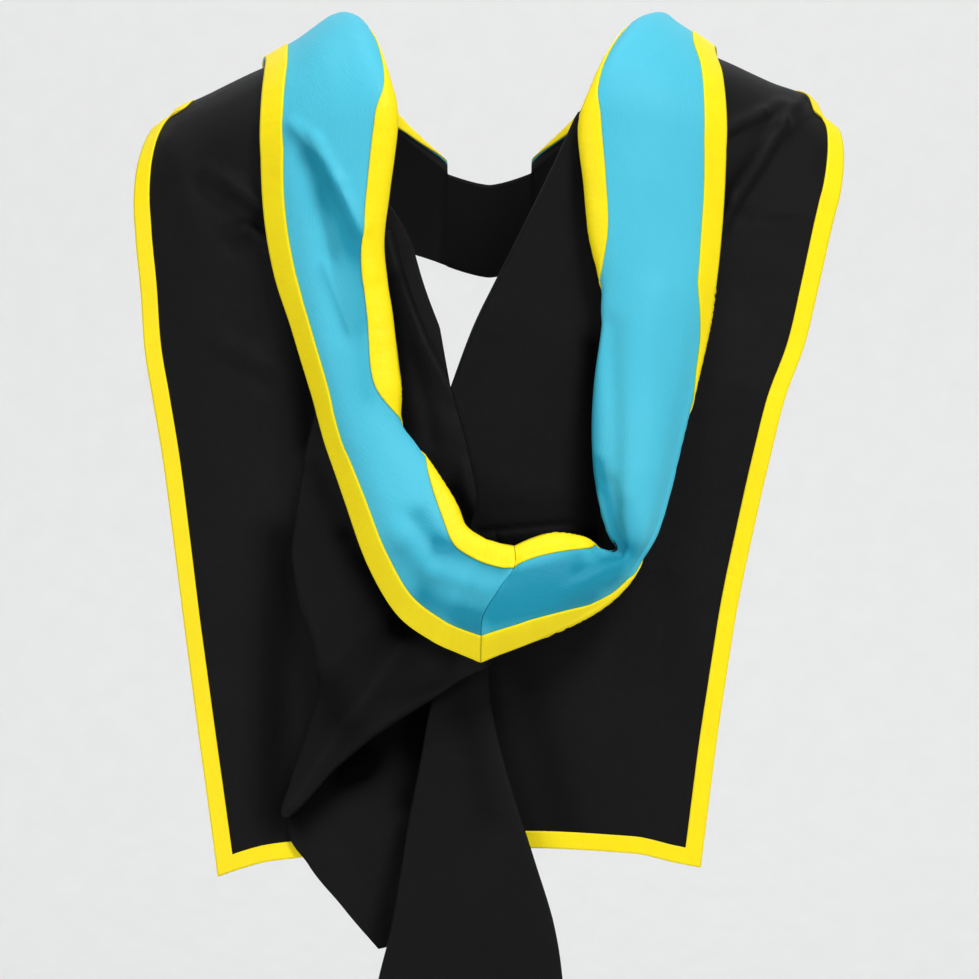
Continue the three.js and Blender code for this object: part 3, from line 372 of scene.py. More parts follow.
bandStands = {
    "left": np.array([
        [0.21, 0.01, 0.09, 0.11, -0.02, 0], [0.26, 0.07, 0.1, 0.1, 0.03, 0],
        [0.27, 0.12, 0.1, 0.09, 0.15, 0], [0.29, 0.15, 0.11, 0.09, 0.15, 0],
        [0.31, 0.15, 0.14, 0.13, 0.15, 0], [0.37, 0.15, 0.18, 0.15, 0.17, 0],
        [0.45, 0.16, 0.25, 0.17, 0.18, 0], [0.5, 0.165, 0.3, 0.175, 0, 0],
        [0.55, 0.17, 0.36, 0.18, -0.03, 0], [0.64, 0.18, 0.5, 0.19, 0.06, 0],
        [0.73, 0.2, 0.66, 0.21, 0.13, 0], [0.81, 0.22, 0.8, 0.22, 0.15, 0],
        [0.87, 0.24, 0.9, 0.26, 0.16, 0], [0.9, 0.26, 0.95, 0.34, 0.18, 0],
        [0.92, 0.27, 1, 0.42, 0.19, 0],
    ]),
    "right": np.array([
        [0.21, 0.01, 0.09, 0.11, -0.02, 0], [0.26, 0.07, 0.1, 0.1, 0.05, 0],
        [0.27, 0.12, 0.1, 0.09, 0.15, 0], [0.29, 0.16, 0.11, 0.09, 0.15, 0],
        [0.3, 0.17, 0.13, 0.1, 0.13, 0], [0.33, 0.18, 0.16, 0.09, -0.01, 0],
        [0.37, 0.19, 0.2, 0.11, -0.04, 0.08], [0.43, 0.2, 0.3, 0.13, -0.04, 0.22],
        [0.49, 0.21, 0.4, 0.15, -0.04, 0.36], [0.56, 0.21, 0.5, 0.17, -0.04, 0.5],
        [0.62, 0.16, 0.58, 0.2, -0.05, 0.6], [0.66, 0.05, 0.64, 0.24, -0.06, 0.8],
        [0.7, 0.12, 0.72, 0.28, -0.03, 0.43], [0.76, 0.18, 0.82, 0.32, 0.1, 0.2],
        [0.83, 0.23, 0.91, 0.36, 0.17, 0.06], [0.88, 0.26, 0.96, 0.4, 0.19, 0],
        [0.92, 0.27, 1, 0.42, 0.19, 0],
    ]),
}

# Columns: outer x, outer down, and for the rows past the centre seam inner x, inner down
pocketSections = {
    "left": np.array([
        [-0.335, 0.262], [-0.405, 0.336], [-0.455, 0.4], [-0.485, 0.458], [-0.515, 0.558],
        [-0.53, 0.663], [-0.455, 0.775], [-0.565, 0.935], [-0.505, 0.995], [-0.407, 1.045],
        [-0.31, 1.092],
    ]),
    "right": np.array([
        [0.32, 0.14], [0.34, 0.21], [0.36, 0.28], [0.38, 0.345], [0.375, 0.4], [0.37, 0.47],
        [0.37, 0.54], [0.34, 0.625], [0.12, 0.715],
    ]),
}
pocketTail = np.array([[-0.1, 1.045], [-0.24, 1.085]])

# Columns: middle, fall, width, stand, thick
liripipeSections = np.array([
    [-0.066, 0, 0.22, 0.125, 0.5], [-0.08, 0.117, 0.32, 0.19, 0.8], [-0.077, 0.222, 0.43, 0.24, 1],
    [-0.07, 0.323, 0.56, 0.27, 1], [-0.059, 0.42, 0.68, 0.28, 1], [-0.048, 0.54, 0.83, 0.28, 1],
    [-0.055, 0.66, 0.95, 0.27, 1], [-0.056, 0.822, 0.99, 0.25, 0.9], [-0.055, 1, 1, 0.24, 0.6],
])


# A place on the front: x = share * half width * side, over = -share * crown arc
def inFront(xShare, overShare, side):
    return xShare * form["halfWidth"] * side, -overShare * form["crownArc"]


cape = {
    "rows": 190,
    "columns": 84,
    "cloth": 1.5,
    "ribbonWidth": 12,
    "seamGap": 0.3,
    "innerSlip": 11,  # how far the left cape's neck edge shows past the pocket's fold
    "slipFrom": 3,
    "slipEase": 1.3,
    "folds": {
        "left": [
            [-196, -112, -178, -121, 2, 7], [-180, -120, -152, -140, 4.4, 5.5],
            [-204, -122, -178, -136, -2.6, 7], [-178, -136, -158, -149, -3.2, 5],
            [-184, -152, -170, -151, 2.6, 5], [-172, -151, -154, -161, 4.8, 5],
            [-180, -163, -160, -170, -3.4, 5], [-186, -233, -160, -249, 2, 8],
            [-180, -245, -158, -260, -1.6, 8], [-205, -174, -180, -420, 2.8, 24],
            [-150, -300, -130, -580, -2, 26], [-165, -240, -148, -590, 2, 15],
            [-225, -90, -205, -150, 1.6, 12],
        ],
        "right": [
            [228, -52, 206, -78, 5, 6], [206, -78, 170, -132, 5.2, 5], [236, -66, 214, -92, -3.2, 6],
            [214, -92, 178, -142, -3.8, 6], [206, -62, 190, -72, 3.2, 6],
            [191, -70, 164, -82, 3.2, 4.5], [190, -80, 168, -92, -2.2, 5],
            [170, -132, 163, -148, 4.2, 4.5], [170, -230, 142, -470, 2.8, 24],
            [115, -420, 100, -585, -2, 24], [190, -200, 160, -420, -1.8, 18],
        ],
    },
    "wave": 1.1,
    "foldsFrom": 60,  # how far over the shoulder the folds have grown to their full height
    "lowest": -0.8,
    "ribbonGap": 0.1,
    "ribbonCloth": 1,
    "ribbonColumns": 9,
    "ribbonRows": 200,
    "hemRows": 110,
    "fineRows": 600,
}


# The cape's inner and outer edges as places on the form, smoothRows through its sections, the inner
# one with a corner at the V's foot and moved by slip times a ramp up and down
def capeEdges(name, side, at, slip=0):
    inner, outer = (np.vstack([np.stack(inFront(*frontCape[:, k:k + 2].T, side), -1),
                               np.stack(seen(*capeSections[name][:, k:k + 2].T, 0), -1)]) for k in (0, 2))
    corner = len(frontCape) + vFoot
    neck = smoothRows(inner[:corner + 1], np.minimum(at, corner))
    seam = smoothRows(inner[corner:], np.maximum(at - corner, 0))
    innerAt = np.where((at > corner)[:, None], seam, neck)
    innerAt[:, 0] += np.where(at >= corner, side * cape["seamGap"] / 2, 0)
    past = at - len(frontCape) - cape["slipFrom"]
    rise = np.clip(past / cape["slipEase"], 0, 1) * np.clip((corner - at) / cape["slipEase"], 0, 1)
    innerAt[:, 0] += slip * rise
    return innerAt, smoothRows(outer, at)


# Columns: share of the size, wave lengths across and over in millimetres over two pi, phase
swellWaves = [[0.5, 31, 95, 1.3], [0.32, 17, -70, 0.4], [0.22, 47, 23, 2.1], [0.12, 9, 41, 0]]


# Soft uneven swells: size times the sum of share * sin(x / across + over / along + phase)
def swells(x, over, size):
    return size * sum(share * np.sin(x / across + over / along + phase)
                      for share, across, along, phase in swellWaves)


# Points of the cape at places on the form, moved along the form's normal by its folds and swells
def capePoints(name, x, over):
    points = formPoint(x, over)
    lift = foldHeight(points, cape["folds"][name]) + swells(x, over, cape["wave"]) * (over > 0)
    lift = np.maximum(lift * np.clip(over / cape["foldsFrom"], 0, 1), cape["lowest"])
    return points + formNormal(x, over) * lift[..., None]


# Half a cape: a grid between its edges, its points lifted by folds and swells
def makeCape(name, side):
    last = len(frontCape) + len(capeSections[name]) - 1
    at = np.linspace(0, last, cape["rows"])
    inner, outer = capeEdges(name, side, at, cape["innerSlip"] if name == "left" else 0)
    places = between(inner, outer, np.linspace(0, 1, cape["columns"])[None, :, None])
    points = capePoints(name, places[..., 0], places[..., 1])
    half = cape["cloth"] / 2
    return ownWall(f"cape_{name}_cloth", points, gridNormals(points, side), -half, half, side)


# The ribbon along the outer edge and then the hem. At each distance from the edge, its line is
# inner (1 - share) + outer share with share = 1 - distance / width, down to where the hem's line is met
def makeCapeRibbon(name, side):
    last = len(frontCape) + len(capeSections[name]) - 1
    across = np.linspace(cape["ribbonWidth"], 0, cape["ribbonColumns"])
    fine = np.linspace(0, last, cape["fineRows"])
    inner, outer = capeEdges(name, side, fine)
    hemIn, hemOut = inner[-1], outer[-1]
    shares = np.linspace(0, 1, cape["ribbonRows"])
    width = np.hypot(*(outer - inner).T)
    columns = []
    for distance in across:
        share = 1 - distance / width
        edge = inner * (1 - share[:, None]) + outer * share[:, None]
        hemOver = hemIn[1] * (1 - share[-1]) + hemOut[1] * share[-1] - distance
        stop = np.interp(hemOver, edge[:, 1], fine)
        down = np.stack([np.interp(shares * stop, fine, edge[:, k]) for k in (0, 1)], -1)
        hemShare = share[-1] * (1 - np.linspace(0, 1, cape["hemRows"])[1:, None])
        hem = hemIn * (1 - hemShare) + hemOut * hemShare
        hem[:, 1] -= distance
        columns.append(np.vstack([down, hem]))
    places = np.stack(columns, 1)
    points = capePoints(name, places[..., 0], places[..., 1])
    normals = formNormal(places[..., 0], places[..., 1])
    low = cape["cloth"] / 2 + cape["ribbonGap"]
    high = low + cape["ribbonCloth"]
    return ownWall(f"cape_ribbon_{name}_strip", points, normals, low, high, side)


pocket = {
    "rows": 190,
    "columns": 80,
    "cloth": 1.5,
    "stand": 3.9,
    "rollHeight": 4.2,  # how far the V fold puffs up beyond the cloth around it
    "rollWidth": 15,
    "lapAt": [3, 3.85, 4.5, 4.7, 4.9, 5],  # where the left half laps over the right below the V
    "lap": [0, 5.2, 8, 6.7, 1.7, 0],
    "lapStep": 4,
    "lapRise": 2.4,
    "lapReach": 24,
    "lapEdge": 12,
    "lapStand": 1.9,
    "lowest": 1.7,  # where the wall starts on the cape, its own half thickness included
    "rollReach": 4.5,
    "vEase": 1.2,
    "vPast": 0.2,
    "spread": 1.35,
    "folds": {
        "left": [
            [-51, -170, -22, -270, 2, 7], [-62, -190, -40, -300, -1.6, 7],
            [-18, -320, -12, -350, 1.5, 6], [-130, -420, -118, -470, 1.8, 10],
            [-118, -560, -60, -640, -1.5, 14],
        ],
        "right": [
            [60, -80, 4, -196, -1.3, 10], [20, -215, 60, -250, 1.2, 18], [10, -330, 60, -340, 1, 12],
            [-8, -364, 68, -357, -1.8, 1.7], [4.5, -366, 6.6, -374, -1.2, 1.4],
        ],
    },
}


# Half of the pocket's inside wall: a grid from the cape's V and seam to the outer edge, spread by a power
# of the share. It stands level; along the V it rises by sqrt(1 - (1 - away / reach)^2) into a soft roll,
# which falls off as exp(-(away / width)^2).
def makePocketBack(name, side):
    sections = pocketSections[name]
    first = len(frontCape) + vStart[name]
    corner = len(frontCape) + vFoot
    lastCape = len(frontCape) + len(capeSections[name]) - 1
    stand, lowest, reach = pocket["stand"], pocket["lowest"], pocket["rollReach"]
    rows = np.linspace(0, len(sections) - 1, pocket["rows"])
    inner, _ = capeEdges(name, side, np.minimum(first + rows, lastCape))
    if name == "left":
        tailRows = np.vstack([inner[-1:], np.stack(seen(*pocketTail.T, stand), -1)])
        past = np.clip(first + rows - lastCape, 0, 2)
        inner = np.where((past > 0)[:, None], smoothRows(tailRows, past), inner)
        lap = np.interp(rows, pocket["lapAt"], pocket["lap"])
        inner[:, 0] += lap
    outer = smoothRows(np.stack(seen(*sections.T, stand), -1), rows)
    share = np.linspace(0, 1, pocket["columns"]) ** pocket["spread"]
    places = between(inner, outer, share[None, :, None])
    x, over = places[..., 0], places[..., 1]
    away = np.linalg.norm(places - inner[:, None], axis=-1)
    onV = np.clip((corner + pocket["vPast"] - first - rows) / pocket["vEase"], 0, 1)[:, None]
    rise = np.sqrt(1 - (1 - np.minimum(away / reach, 1)) ** 2)
    puff = pocket["rollHeight"] * np.exp(-(np.maximum(away - reach, 0) / pocket["rollWidth"]) ** 2) * rise
    lift = stand * (1 - onV) + onV * (lowest + (stand - lowest) * rise + puff)
    points = formPoint(x, over)
    lift = lift + foldHeight(points, pocket["folds"][name])
    if name == "left":
        laps = np.clip(lap / pocket["lapStep"], 0, 1)[:, None]
        lift = lift + pocket["lapRise"] * laps * np.exp(-(away / pocket["lapReach"]) ** 2)
        lift = np.maximum(lift, (stand + pocket["lapStand"]) * laps * (away < pocket["lapEdge"]))
    points = points + formNormal(x, over) * np.maximum(lift, lowest)[..., None]
    half = pocket["cloth"] / 2
    return ownWall(f"pocket_back_{name}_cloth", points, gridNormals(points, side), -half, half, side)


band = {
    "rows": 250,
    "underColumns": 44,
    "ribbonColumns": 13,
    "facingColumns": 44,
    "edgeColumns": 13,
    "ribbonWidth": 19,
    "width": 102,
    "rollRadius": 6,
    "foldRadius": 2.5,
    "foldFull": 0.1,  # the turned-under share from which the fold has its full radius
    "tuckShare": 0.9,
    "rollEase": 1.2,
    "quarter": 0.3,
    "lineSteps": 24,
    "turnSteps": 13,
    "bagThin": 0.9,
    "bagThick": 7,
    "bagFloor": 1.7,
    "half": 0.75,
    "layer": 1,
    "layerGap": 0.06,
    "sideEase": (3, 6),  # columns over which the wall's own folds give way to the facing's
    "ribbonLayer": 0.98,
    "edgeMost": 0.42,  # the outer ribbon's most, as a share of the part ahead of the roll
    "endGap": 0.16,
    "seamReach": 2.2,  # the sections over which the seam widens the ribbon and swings
    "seamWiden": 0.2,
    "seamSwing": [[0], [4], [-2.5], [-7.6], [-4], [0]],
    "bunch": 0.9,
    "underSpread": 0.9,
    "topReach": 12,
    "endRows": 6,
    "wave": 0.5,
    "waveStretch": (1.7, 1.9),
    "folds": {
        "left": [
            [-137, -79, -121, -91, 2, 5], [-121, -91, -106, -120, 3.2, 5],
            [-106, -120, -91, -153, 3.6, 5.5], [-91, -153, -84, -186, 2, 6],
            [-131, -98, -113, -172, -4.6, 8], [-113, -172, -102, -226, -2.6, 9],
            [-122, -205, -96, -300, 1.4, 9], [-92, -300, -62, -366, 1.6, 10],
            [-62, -366, -40, -392, 1.8, 7], [-40, -392, 2, -405, 2.8, 6],
            [-58, -352, -38, -372, -1.6, 7], [-38, -372, 10, -390, -2.6, 6],
        ],
        "right": [
            [84, -220, 88, -340, -3.2, 9], [112, -200, 108, -320, 2, 13], [93, -378, 62, -392, -3, 5],
            [93, -378, 52, -405, 1.6, 5], [93, -378, 40, -378, -1.6, 5], [82, -330, 92, -376, -3.4, 6],
            [20, -388, 66, -376, 2, 6],
        ],
    },
    "bagFolds": [
        [-133, -412, -117, -455, -3, 12], [-117, -455, -120, -482, -2.6, 12],
        [-75, -480, -8, -458, 1.6, 5], [-78, -470, -20, -455, -1.4, 5], [-120, -480, -20, -462, 2, 9],
        [-100, -520, -30, -474, -1.6, 10], [-136, -545, -90, -500, 1.4, 9],
        [-120, -330, -132, -400, 2.2, 14],
    ],
}


# Every section's roll, edge and tuck as x, over and stand, then bulge, ribbon and turned-under shares,
# with smoothRows between the sections
def bandTable(name, side, at):
    places, stands = bandSections[name], bandStands[name]
    depth = form["pocketDepth"]
    columns = []
    for place, index in ((0, 0), (2, 2), (4, 3)):
        backStand = stands[:, index] * depth
        front = np.stack(inFront(*frontBand[:, place:place + 2].T, side), -1)
        back = np.stack(seen(*places[:, place:place + 2].T, backStand), -1)
        stand = np.concatenate([frontStands[:, index] * depth, backStand])
        columns.append(np.column_stack([np.vstack([front, back]), stand]))
    rest = np.vstack([frontStands, stands])[:, [1, 4, 5]]
    return smoothRows(np.column_stack(columns + [rest]), at)


# How far the wall under the left band turns in at the bag's outline, for the last sections
bagShut = {"left": np.array([1] * 16 + [0.4, 0]), "right": np.zeros(20)}


upward = np.array([[0, 0, 1.0]])


# A half circle from each point: outward by radius sin(angle), down by radius (1 - cos(angle))
def turnedUnder(points, outward, radius):
    angle = np.linspace(0, math.pi, band["turnSteps"])[None, 1:, None]
    outward, radius = outward[:, None], radius[:, None]
    return points[:, None] + outward * radius * np.sin(angle) - upward * radius * (1 - np.cos(angle))


# Each section's line: under the band up to the roll, round it, down to the free edge and round that,
# a smoothLine through points at shares between them. Returned as the part behind the roll, counted
# from it, and the part ahead of it.
def bandLines(table, shut):
    roll, edge, tuck = table[:, 0:3], table[:, 3:6], table[:, 6:9]
    bulge = upward * table[:, 9:10] * form["pocketDepth"] * band["bunch"]
    under = np.maximum(table[:, 11:12], 0)
    flat = np.array([1, 1, 0])
    seenWidth = np.linalg.norm((edge - roll) * flat, axis=-1, keepdims=True)
    outward = unit((edge - roll) * flat)
    tuckward = unit((tuck - roll) * flat)
    radius = np.minimum(band["rollRadius"], roll[:, 2:] - tuck[:, 2:] * band["tuckShare"])
    turn = band["foldRadius"] * np.clip(under / band["foldFull"], 0, 1)
    edgeIn = edge - outward * turn
    # The bag's own fold: the wall turns round its outline and in towards the back
    thin = band["bagThin"]
    room = (tuck[:, 2:] - pocket["stand"] - band["bagFloor"]) / 2
    bagTurn = thin + (np.clip(room, thin, band["bagThick"]) - thin) * shut[:, None]
    tuckIn = tuck - tuckward * bagTurn
    below = roll + tuckward * radius * band["rollEase"] - upward * radius
    above = roll + outward * radius * band["rollEase"] + upward * radius
    quarter = band["quarter"]
    nearRoll = above * (1 - quarter) + edgeIn * quarter + bulge
    nearEdge = above * quarter + edgeIn * (1 - quarter) + bulge
    middle = (below + tuckIn) / 2
    points = np.stack([tuckIn, middle, below, roll, above, nearRoll, nearEdge, edgeIn], 1)
    lines = smoothLines(points, band["lineSteps"])
    rollAt = 3 * band["lineSteps"]
    back = np.concatenate([lines[:, rollAt::-1], turnedUnder(tuckIn, tuckward, bagTurn)], 1)
    tip = turnedUnder(edgeIn, outward, turn)
    reach = (under * seenWidth)[:, None] * np.linspace(0, 1, band["turnSteps"])[None, 1:, None]
    ahead = np.concatenate([lines[:, rollAt:], tip, tip[:, -1:] - outward[:, None] * reach], 1)
    return back, ahead


# One side of the turned-out band, cut into the wall, the facing and its two ribbons. Its columns are
# distances along bandLines, less than 0 behind the roll; folds, swells and the seam's swing move them.
def makeBand(name, side):
    last = len(frontBand) + len(bandSections[name]) - 1
    at = np.linspace(0, last, band["rows"])
    table = bandTable(name, side, at)
    back, ahead = bandLines(table, np.interp(at, np.arange(len(bagShut[name])), bagShut[name]))
    ribbon = table[:, 10:11] * band["width"]
    start = band["ribbonWidth"] - ribbon
    backLength = lengthsAlong(back)[:, -1:]
    aheadLength = lengthsAlong(ahead)[:, -1:]
    nearSeam = np.clip((at - last) / band["seamReach"] + 1, 0, 1)[:, None] ** 2
    edgeWidth = band["ribbonWidth"] * (1 + band["seamWiden"] * nearSeam)
    edgeStart = aheadLength - np.minimum(edgeWidth, aheadLength * band["edgeMost"])
    shares = [np.linspace(0, 1, band[key])[None, :]
              for key in ("underColumns", "ribbonColumns", "facingColumns", "edgeColumns")]
    under = -(backLength + (start - backLength) * shares[0] ** band["underSpread"])
    inner = -start + (ribbon + start) * shares[1]
    face = ribbon + (edgeStart - ribbon) * shares[2]
    outer = edgeStart + (aheadLength - edgeStart) * shares[3]
    distances = np.concatenate([under, inner[:, 1:], face[:, 1:], outer[:, 1:]], 1)
    places = np.where((distances < 0)[..., None], alongLines(back, np.maximum(-distances, 0)),
                      alongLines(ahead, np.maximum(distances, 0)))
    points = lifted(places[..., 0], places[..., 1], places[..., 2])
    row = np.arange(len(at))
    fromEnd = np.minimum(row, row[::-1])[:, None]
    points[..., 0] += (fromEnd == 0) * side * band["endGap"]
    straight = np.array([side, 0, 0])
    normals = gridNormals(points, side, (straight, -straight))
    faceStart = band["underColumns"] - 1
    easeFrom, easeOver = band["sideEase"]
    over = np.clip((np.arange(points.shape[1]) - faceStart + easeFrom) / easeOver, 0, 1)[None, :]
    isTop = np.clip(1 + distances / band["topReach"], 0, 1)
    lift = foldHeight(points, band["folds"][name]) * isTop
    if name == "left":
        lift = lift + foldHeight(points, band["bagFolds"]) * (1 - over)
    # The centre seam isn't straight: it swings right near the roll and left further down
    across = np.clip(distances / aheadLength, 0, 1) * (len(band["seamSwing"]) - 1)
    points[..., 0] += smoothRows(band["seamSwing"], across.ravel()).reshape(across.shape) * nearSeam
    waveX, waveZ = (points[..., k] * stretch for k, stretch in zip((0, 2), band["waveStretch"]))
    lift = lift + band["wave"] * swells(waveX, waveZ, 1) * isTop
    lift = lift * np.clip(fromEnd / band["endRows"], 0, 1)
    points = points + normals * lift[..., None]
    normals = gridNormals(points, side, (straight, -straight))
    uv = clothPlaces(points)
    ribbonStop = faceStart + band["ribbonColumns"] - 1
    edgeStop = ribbonStop + band["facingColumns"] - 1
    half, gap = band["half"], band["layerGap"]
    onFace = half + gap + band["layer"] + gap
    cut = {
        "cowl": ("cloth", slice(None), -half, half),
        "facing": ("cloth", slice(faceStart, None), half + gap, half + gap + band["layer"]),
        "inner_ribbon": ("strip", slice(faceStart, ribbonStop + 1), onFace, onFace + band["ribbonLayer"]),
        "outer_ribbon": ("strip", slice(edgeStop, None), onFace, onFace + band["ribbonLayer"]),
    }
    made = {}
    for key, (ending, columns, low, high) in cut.items():
        wall = clothWall(f"{key}_{name}_{ending}", points[:, columns], normals[:, columns], low, high,
                         uv[:, columns], side)
        made[key] = (wall, points[:, columns])
    return made


tail = {
    "rows": 170,
    "sides": 112,
    "top": 0.744,
    "width": 136,
    "length": 350,
    "thickness": 9,
    "cloth": 1.5,
    "flatness": 0.7,
    "wave": 0.8,
    "waveStretch": 1.3,
    "foldsFrom": 0.125,
    "folds": [
        [-25, -500, -40, -660, 1.6, 12], [8, -520, 22, -720, -1.8, 12], [-5, -560, -12, -790, 1.4, 15],
        [-50, -690, -62, -790, -1.2, 10], [20, -620, 44, -780, 1.2, 9],
    ],
}


# The tail: each section is a flattened ellipse that follows the back,
# x = middle + half width cos(turn), lift = stand + half thickness sin(turn)^flatness
def makeTail():
    rows = np.linspace(0, len(liripipeSections) - 1, tail["rows"])
    middle, fall, width, stand, thick = smoothRows(liripipeSections, rows).T[..., None]
    down = tail["top"] * form["capeDrop"] + fall * tail["length"]
    middle = middle * form["halfWidth"]
    over = overAt(middle, -down)
    halfWidth = (width * tail["width"] - tail["cloth"]) / 2
    halfThick = (thick * tail["thickness"] - tail["cloth"]) / 2
    turn = (np.arange(tail["sides"]) + 0.5)[None, :] / tail["sides"] * 2 * math.pi
    x = middle + halfWidth * np.cos(turn)
    flatness = np.sign(np.sin(turn)) * np.abs(np.sin(turn)) ** tail["flatness"]
    base = formPoint(x, over + 0 * x)
    wave = foldHeight(base, tail["folds"]) + swells(x * tail["waveStretch"], base[..., 2], tail["wave"])
    wave = wave * np.clip(fall / tail["foldsFrom"], 0, 1)
    lift = stand * form["pocketDepth"] + halfThick * flatness + wave
    points = base + formNormal(x, over + 0 * x) * lift[..., None]
    normals = gridNormals(points, -1, wrap=True)
    half = tail["cloth"] / 2
    uv = np.stack([np.broadcast_to(down, x.shape), x], -1) * millimetre
    return clothWall("liripipe_cloth", points, normals, -half, half, uv, -1, wrap=True), points


neck = {"dip": 10, "dipPower": 1.5, "thickness": 6, "cloth": 1.5, "lap": 0.8, "edge": 0.8, "puff": 0.6,
        "puffPower": 6, "rows": 60, "columns": 24}


# The neckband: a strip across the front whose middle dips by dip (1 - |across|^dipPower), puffed out by
# 1 - puff (2 share - 1)^puffPower over its width
def makeNeckband():
    across = np.linspace(-1, 1, neck["rows"])[:, None]
    share = np.linspace(0, 1, neck["columns"])[None, :]
    half = frontCape[0, 0] * form["halfWidth"] + neck["lap"]
    top, foot = frontCape[0, 1] * form["crownArc"], frontCape[0, 3] * form["crownArc"]
    over = -(top + (foot - top) * share + neck["dip"] * (1 - np.abs(across) ** neck["dipPower"]))
    x = across * half + 0 * over
    points = formPoint(x, over)
    normals = unit(formNormal(x, over) * np.array([0, 1, 1]))
    puff = 1 - neck["puff"] * (2 * share - 1) ** neck["puffPower"] + 0 * across
    high = neck["edge"] + (neck["thickness"] - 2 * neck["edge"]) * puff
    return ownWall("neckband_cloth", points, normals, -neck["cloth"] / 2, high, 1)


made = {}
for name, side in (("left", -1), ("right", 1)):
    made[f"cape_{name}"] = makeCape(name, side)
    made[f"cape_ribbon_{name}"] = makeCapeRibbon(name, side)
    made[f"pocket_back_{name}"] = makePocketBack(name, side)
    for key, value in makeBand(name, side).items():
        made[f"{key}_{name}"] = value
made["liripipe"] = makeTail()
made["neckband"] = makeNeckband()
print("cloth made:", {key: round(clothArea(points), 4) for key, (piece, points) in made.items()})


# Shader maths as Python: an expression on sockets adds its Math nodes
class Wire:
    def __init__(self, tree, socket):
        self.tree = tree
        self.socket = socket

    def math(self, operation, other=None, swap=False, third=None):
        node = self.tree.nodes.new("ShaderNodeMath")
        node.operation = operation
        values = [self] if other is None else [other, self] if swap else [self, other]
        if third is not None:
            values.append(third)
        for k, value in enumerate(values):
            if isinstance(value, Wire):
                self.tree.links.new(value.socket, node.inputs[k])
            else:
                node.inputs[k].default_value = value
        return Wire(self.tree, node.outputs[0])

    def __add__(self, other):
        return self.math("ADD", other)

    def __radd__(self, other):
        return self.math("ADD", other, True)

    def __sub__(self, other):
        return self.math("SUBTRACT", other)

    def __rsub__(self, other):
        return self.math("SUBTRACT", other, True)

    def __mul__(self, other):
        return self.math("MULTIPLY", other)

    def __rmul__(self, other):
        return self.math("MULTIPLY", other, True)


# A material under construction: node() adds any node, and wires go in as links
class Finish:
    def __init__(self, name):
        self.material = bpy.data.materials.new(name)
        self.material.use_nodes = True
        self.tree = self.material.node_tree
        self.shader = self.tree.nodes["Principled BSDF"]

    def node(self, kind, settings=None, inputs=None, output=0):
        made = self.tree.nodes.new(kind)
        for key, value in (settings or {}).items():
            setattr(made, key, value)
        for key, value in (inputs or {}).items():
            self.put(made.inputs[key], value)
        return Wire(self.tree, made.outputs[output])

    def put(self, socket, value):
        if isinstance(value, Wire):
            self.tree.links.new(value.socket, socket)
        elif isinstance(value, tuple) and len(value) == 3 and len(socket.default_value) == 4:
            socket.default_value = (*value, 1)
        else:
            socket.default_value = value

    def mix(self, share, first, second):
        return self.node("ShaderNodeMix", {"data_type": "RGBA"}, {0: share, 6: first, 7: second}, 2)

    # The painted shade attribute: how strongly shade is painted into the colour
    def hollow(self):
        return self.node("ShaderNodeAttribute", {"attribute_name": "hollow"}, output=2)

    # The places along and across the cloth's own map
    def cloth(self):
        self.uv = self.node("ShaderNodeUVMap", {"uv_map": "cloth"})
        along = self.node("ShaderNodeSeparateXYZ", inputs={0: self.uv})
        return along, Wire(self.tree, along.socket.node.outputs[1])

    # Noise on the object's places or, where it is stretched, on the cloth's own map
    def noise(self, scale, detail, rough, stretch=None):
        if stretch:
            places = self.node("ShaderNodeMapping", inputs={"Vector": self.uv, "Scale": stretch})
        else:
            places = self.node("ShaderNodeTexCoord", output="Object")
        inputs = {"Vector": places, "Scale": scale, "Detail": detail, "Roughness": rough}
        return self.node("ShaderNodeTexNoise", inputs=inputs)

    def bump(self, height, distance, strength, under=None):
        inputs = {"Height": height, "Distance": distance, "Strength": strength}
        if under:
            inputs["Normal"] = under
        return self.node("ShaderNodeBump", inputs=inputs)

    # A look's deep and light colours, mixed by its tone
    def tone(self, tone, look):
        gain, offset = look["range"]
        return self.mix(tone.math("MULTIPLY_ADD", gain, third=offset), look["deep"], look["light"])

    def finish(self, colour, roughness, normal, fixed={}):
        self.put(self.shader.inputs["Base Color"], colour)
        self.put(self.shader.inputs["Roughness"], roughness)
        self.put(self.shader.inputs["Normal"], normal)
        for key, value in fixed.items():
            self.put(self.shader.inputs[key], value)
        return self.material

    # Puts another shader over the finished one, by a share
    def blend(self, share, shader):
        first = Wire(self.tree, self.shader.outputs[0])
        both = self.node("ShaderNodeMixShader", inputs={0: share, 1: first, 2: shader})
        self.put(self.tree.nodes["Material Output"].inputs["Surface"], both)
        return self.material


# A thread pattern: 0.5 + 0.5 sin(2 pi place / spacing)
def threads(wire, spacing):
    return (wire * (2 * math.pi / spacing)).math("SINE") * 0.5 + 0.5


# The sum of values times their shares
def weighed(values, shares):
    return sum(value * share for value, share in zip(values, shares))


# In the looks, tone, rough and height are shares of the patterns, range is the tone's gain and offset, a
# bump is its depth and strength, and a noise is scale, detail, roughness and, on the cloth's map, stretch
blackLook = {
    "deep": (0.0026, 0.0026, 0.003),
    "light": (0.0068, 0.0067, 0.0072),
    # painted shade: the colour painted where shade falls in folds and under overlapping layers
    "hollow": (0.0016, 0.0016, 0.0018),
    "thread": 0.0011,
    "weftThread": 0.000671,
    "weftLean": 0.4,
    "slubs": (900, 2, 0.6, (0.25, 1, 1)),
    "cloud": (9, 3, 0.55),
    "crease": (26, 3, 0.5),
    "tone": (0.45, 0.35, 0.2),
    "range": (1.6, -0.25),
    "rough": (0.5, 0.12, -0.04),
    "height": (0.6, 0.25, 0.5),
    "creaseBump": (0.0035, 0.35),
    "weaveBump": (0.00022, 0.7),
    "fixed": {"Sheen Weight": 0.02, "Sheen Roughness": 0.4, "Sheen Tint": (0.5, 0.5, 0.53),
              "Specular IOR Level": 0.1},
}
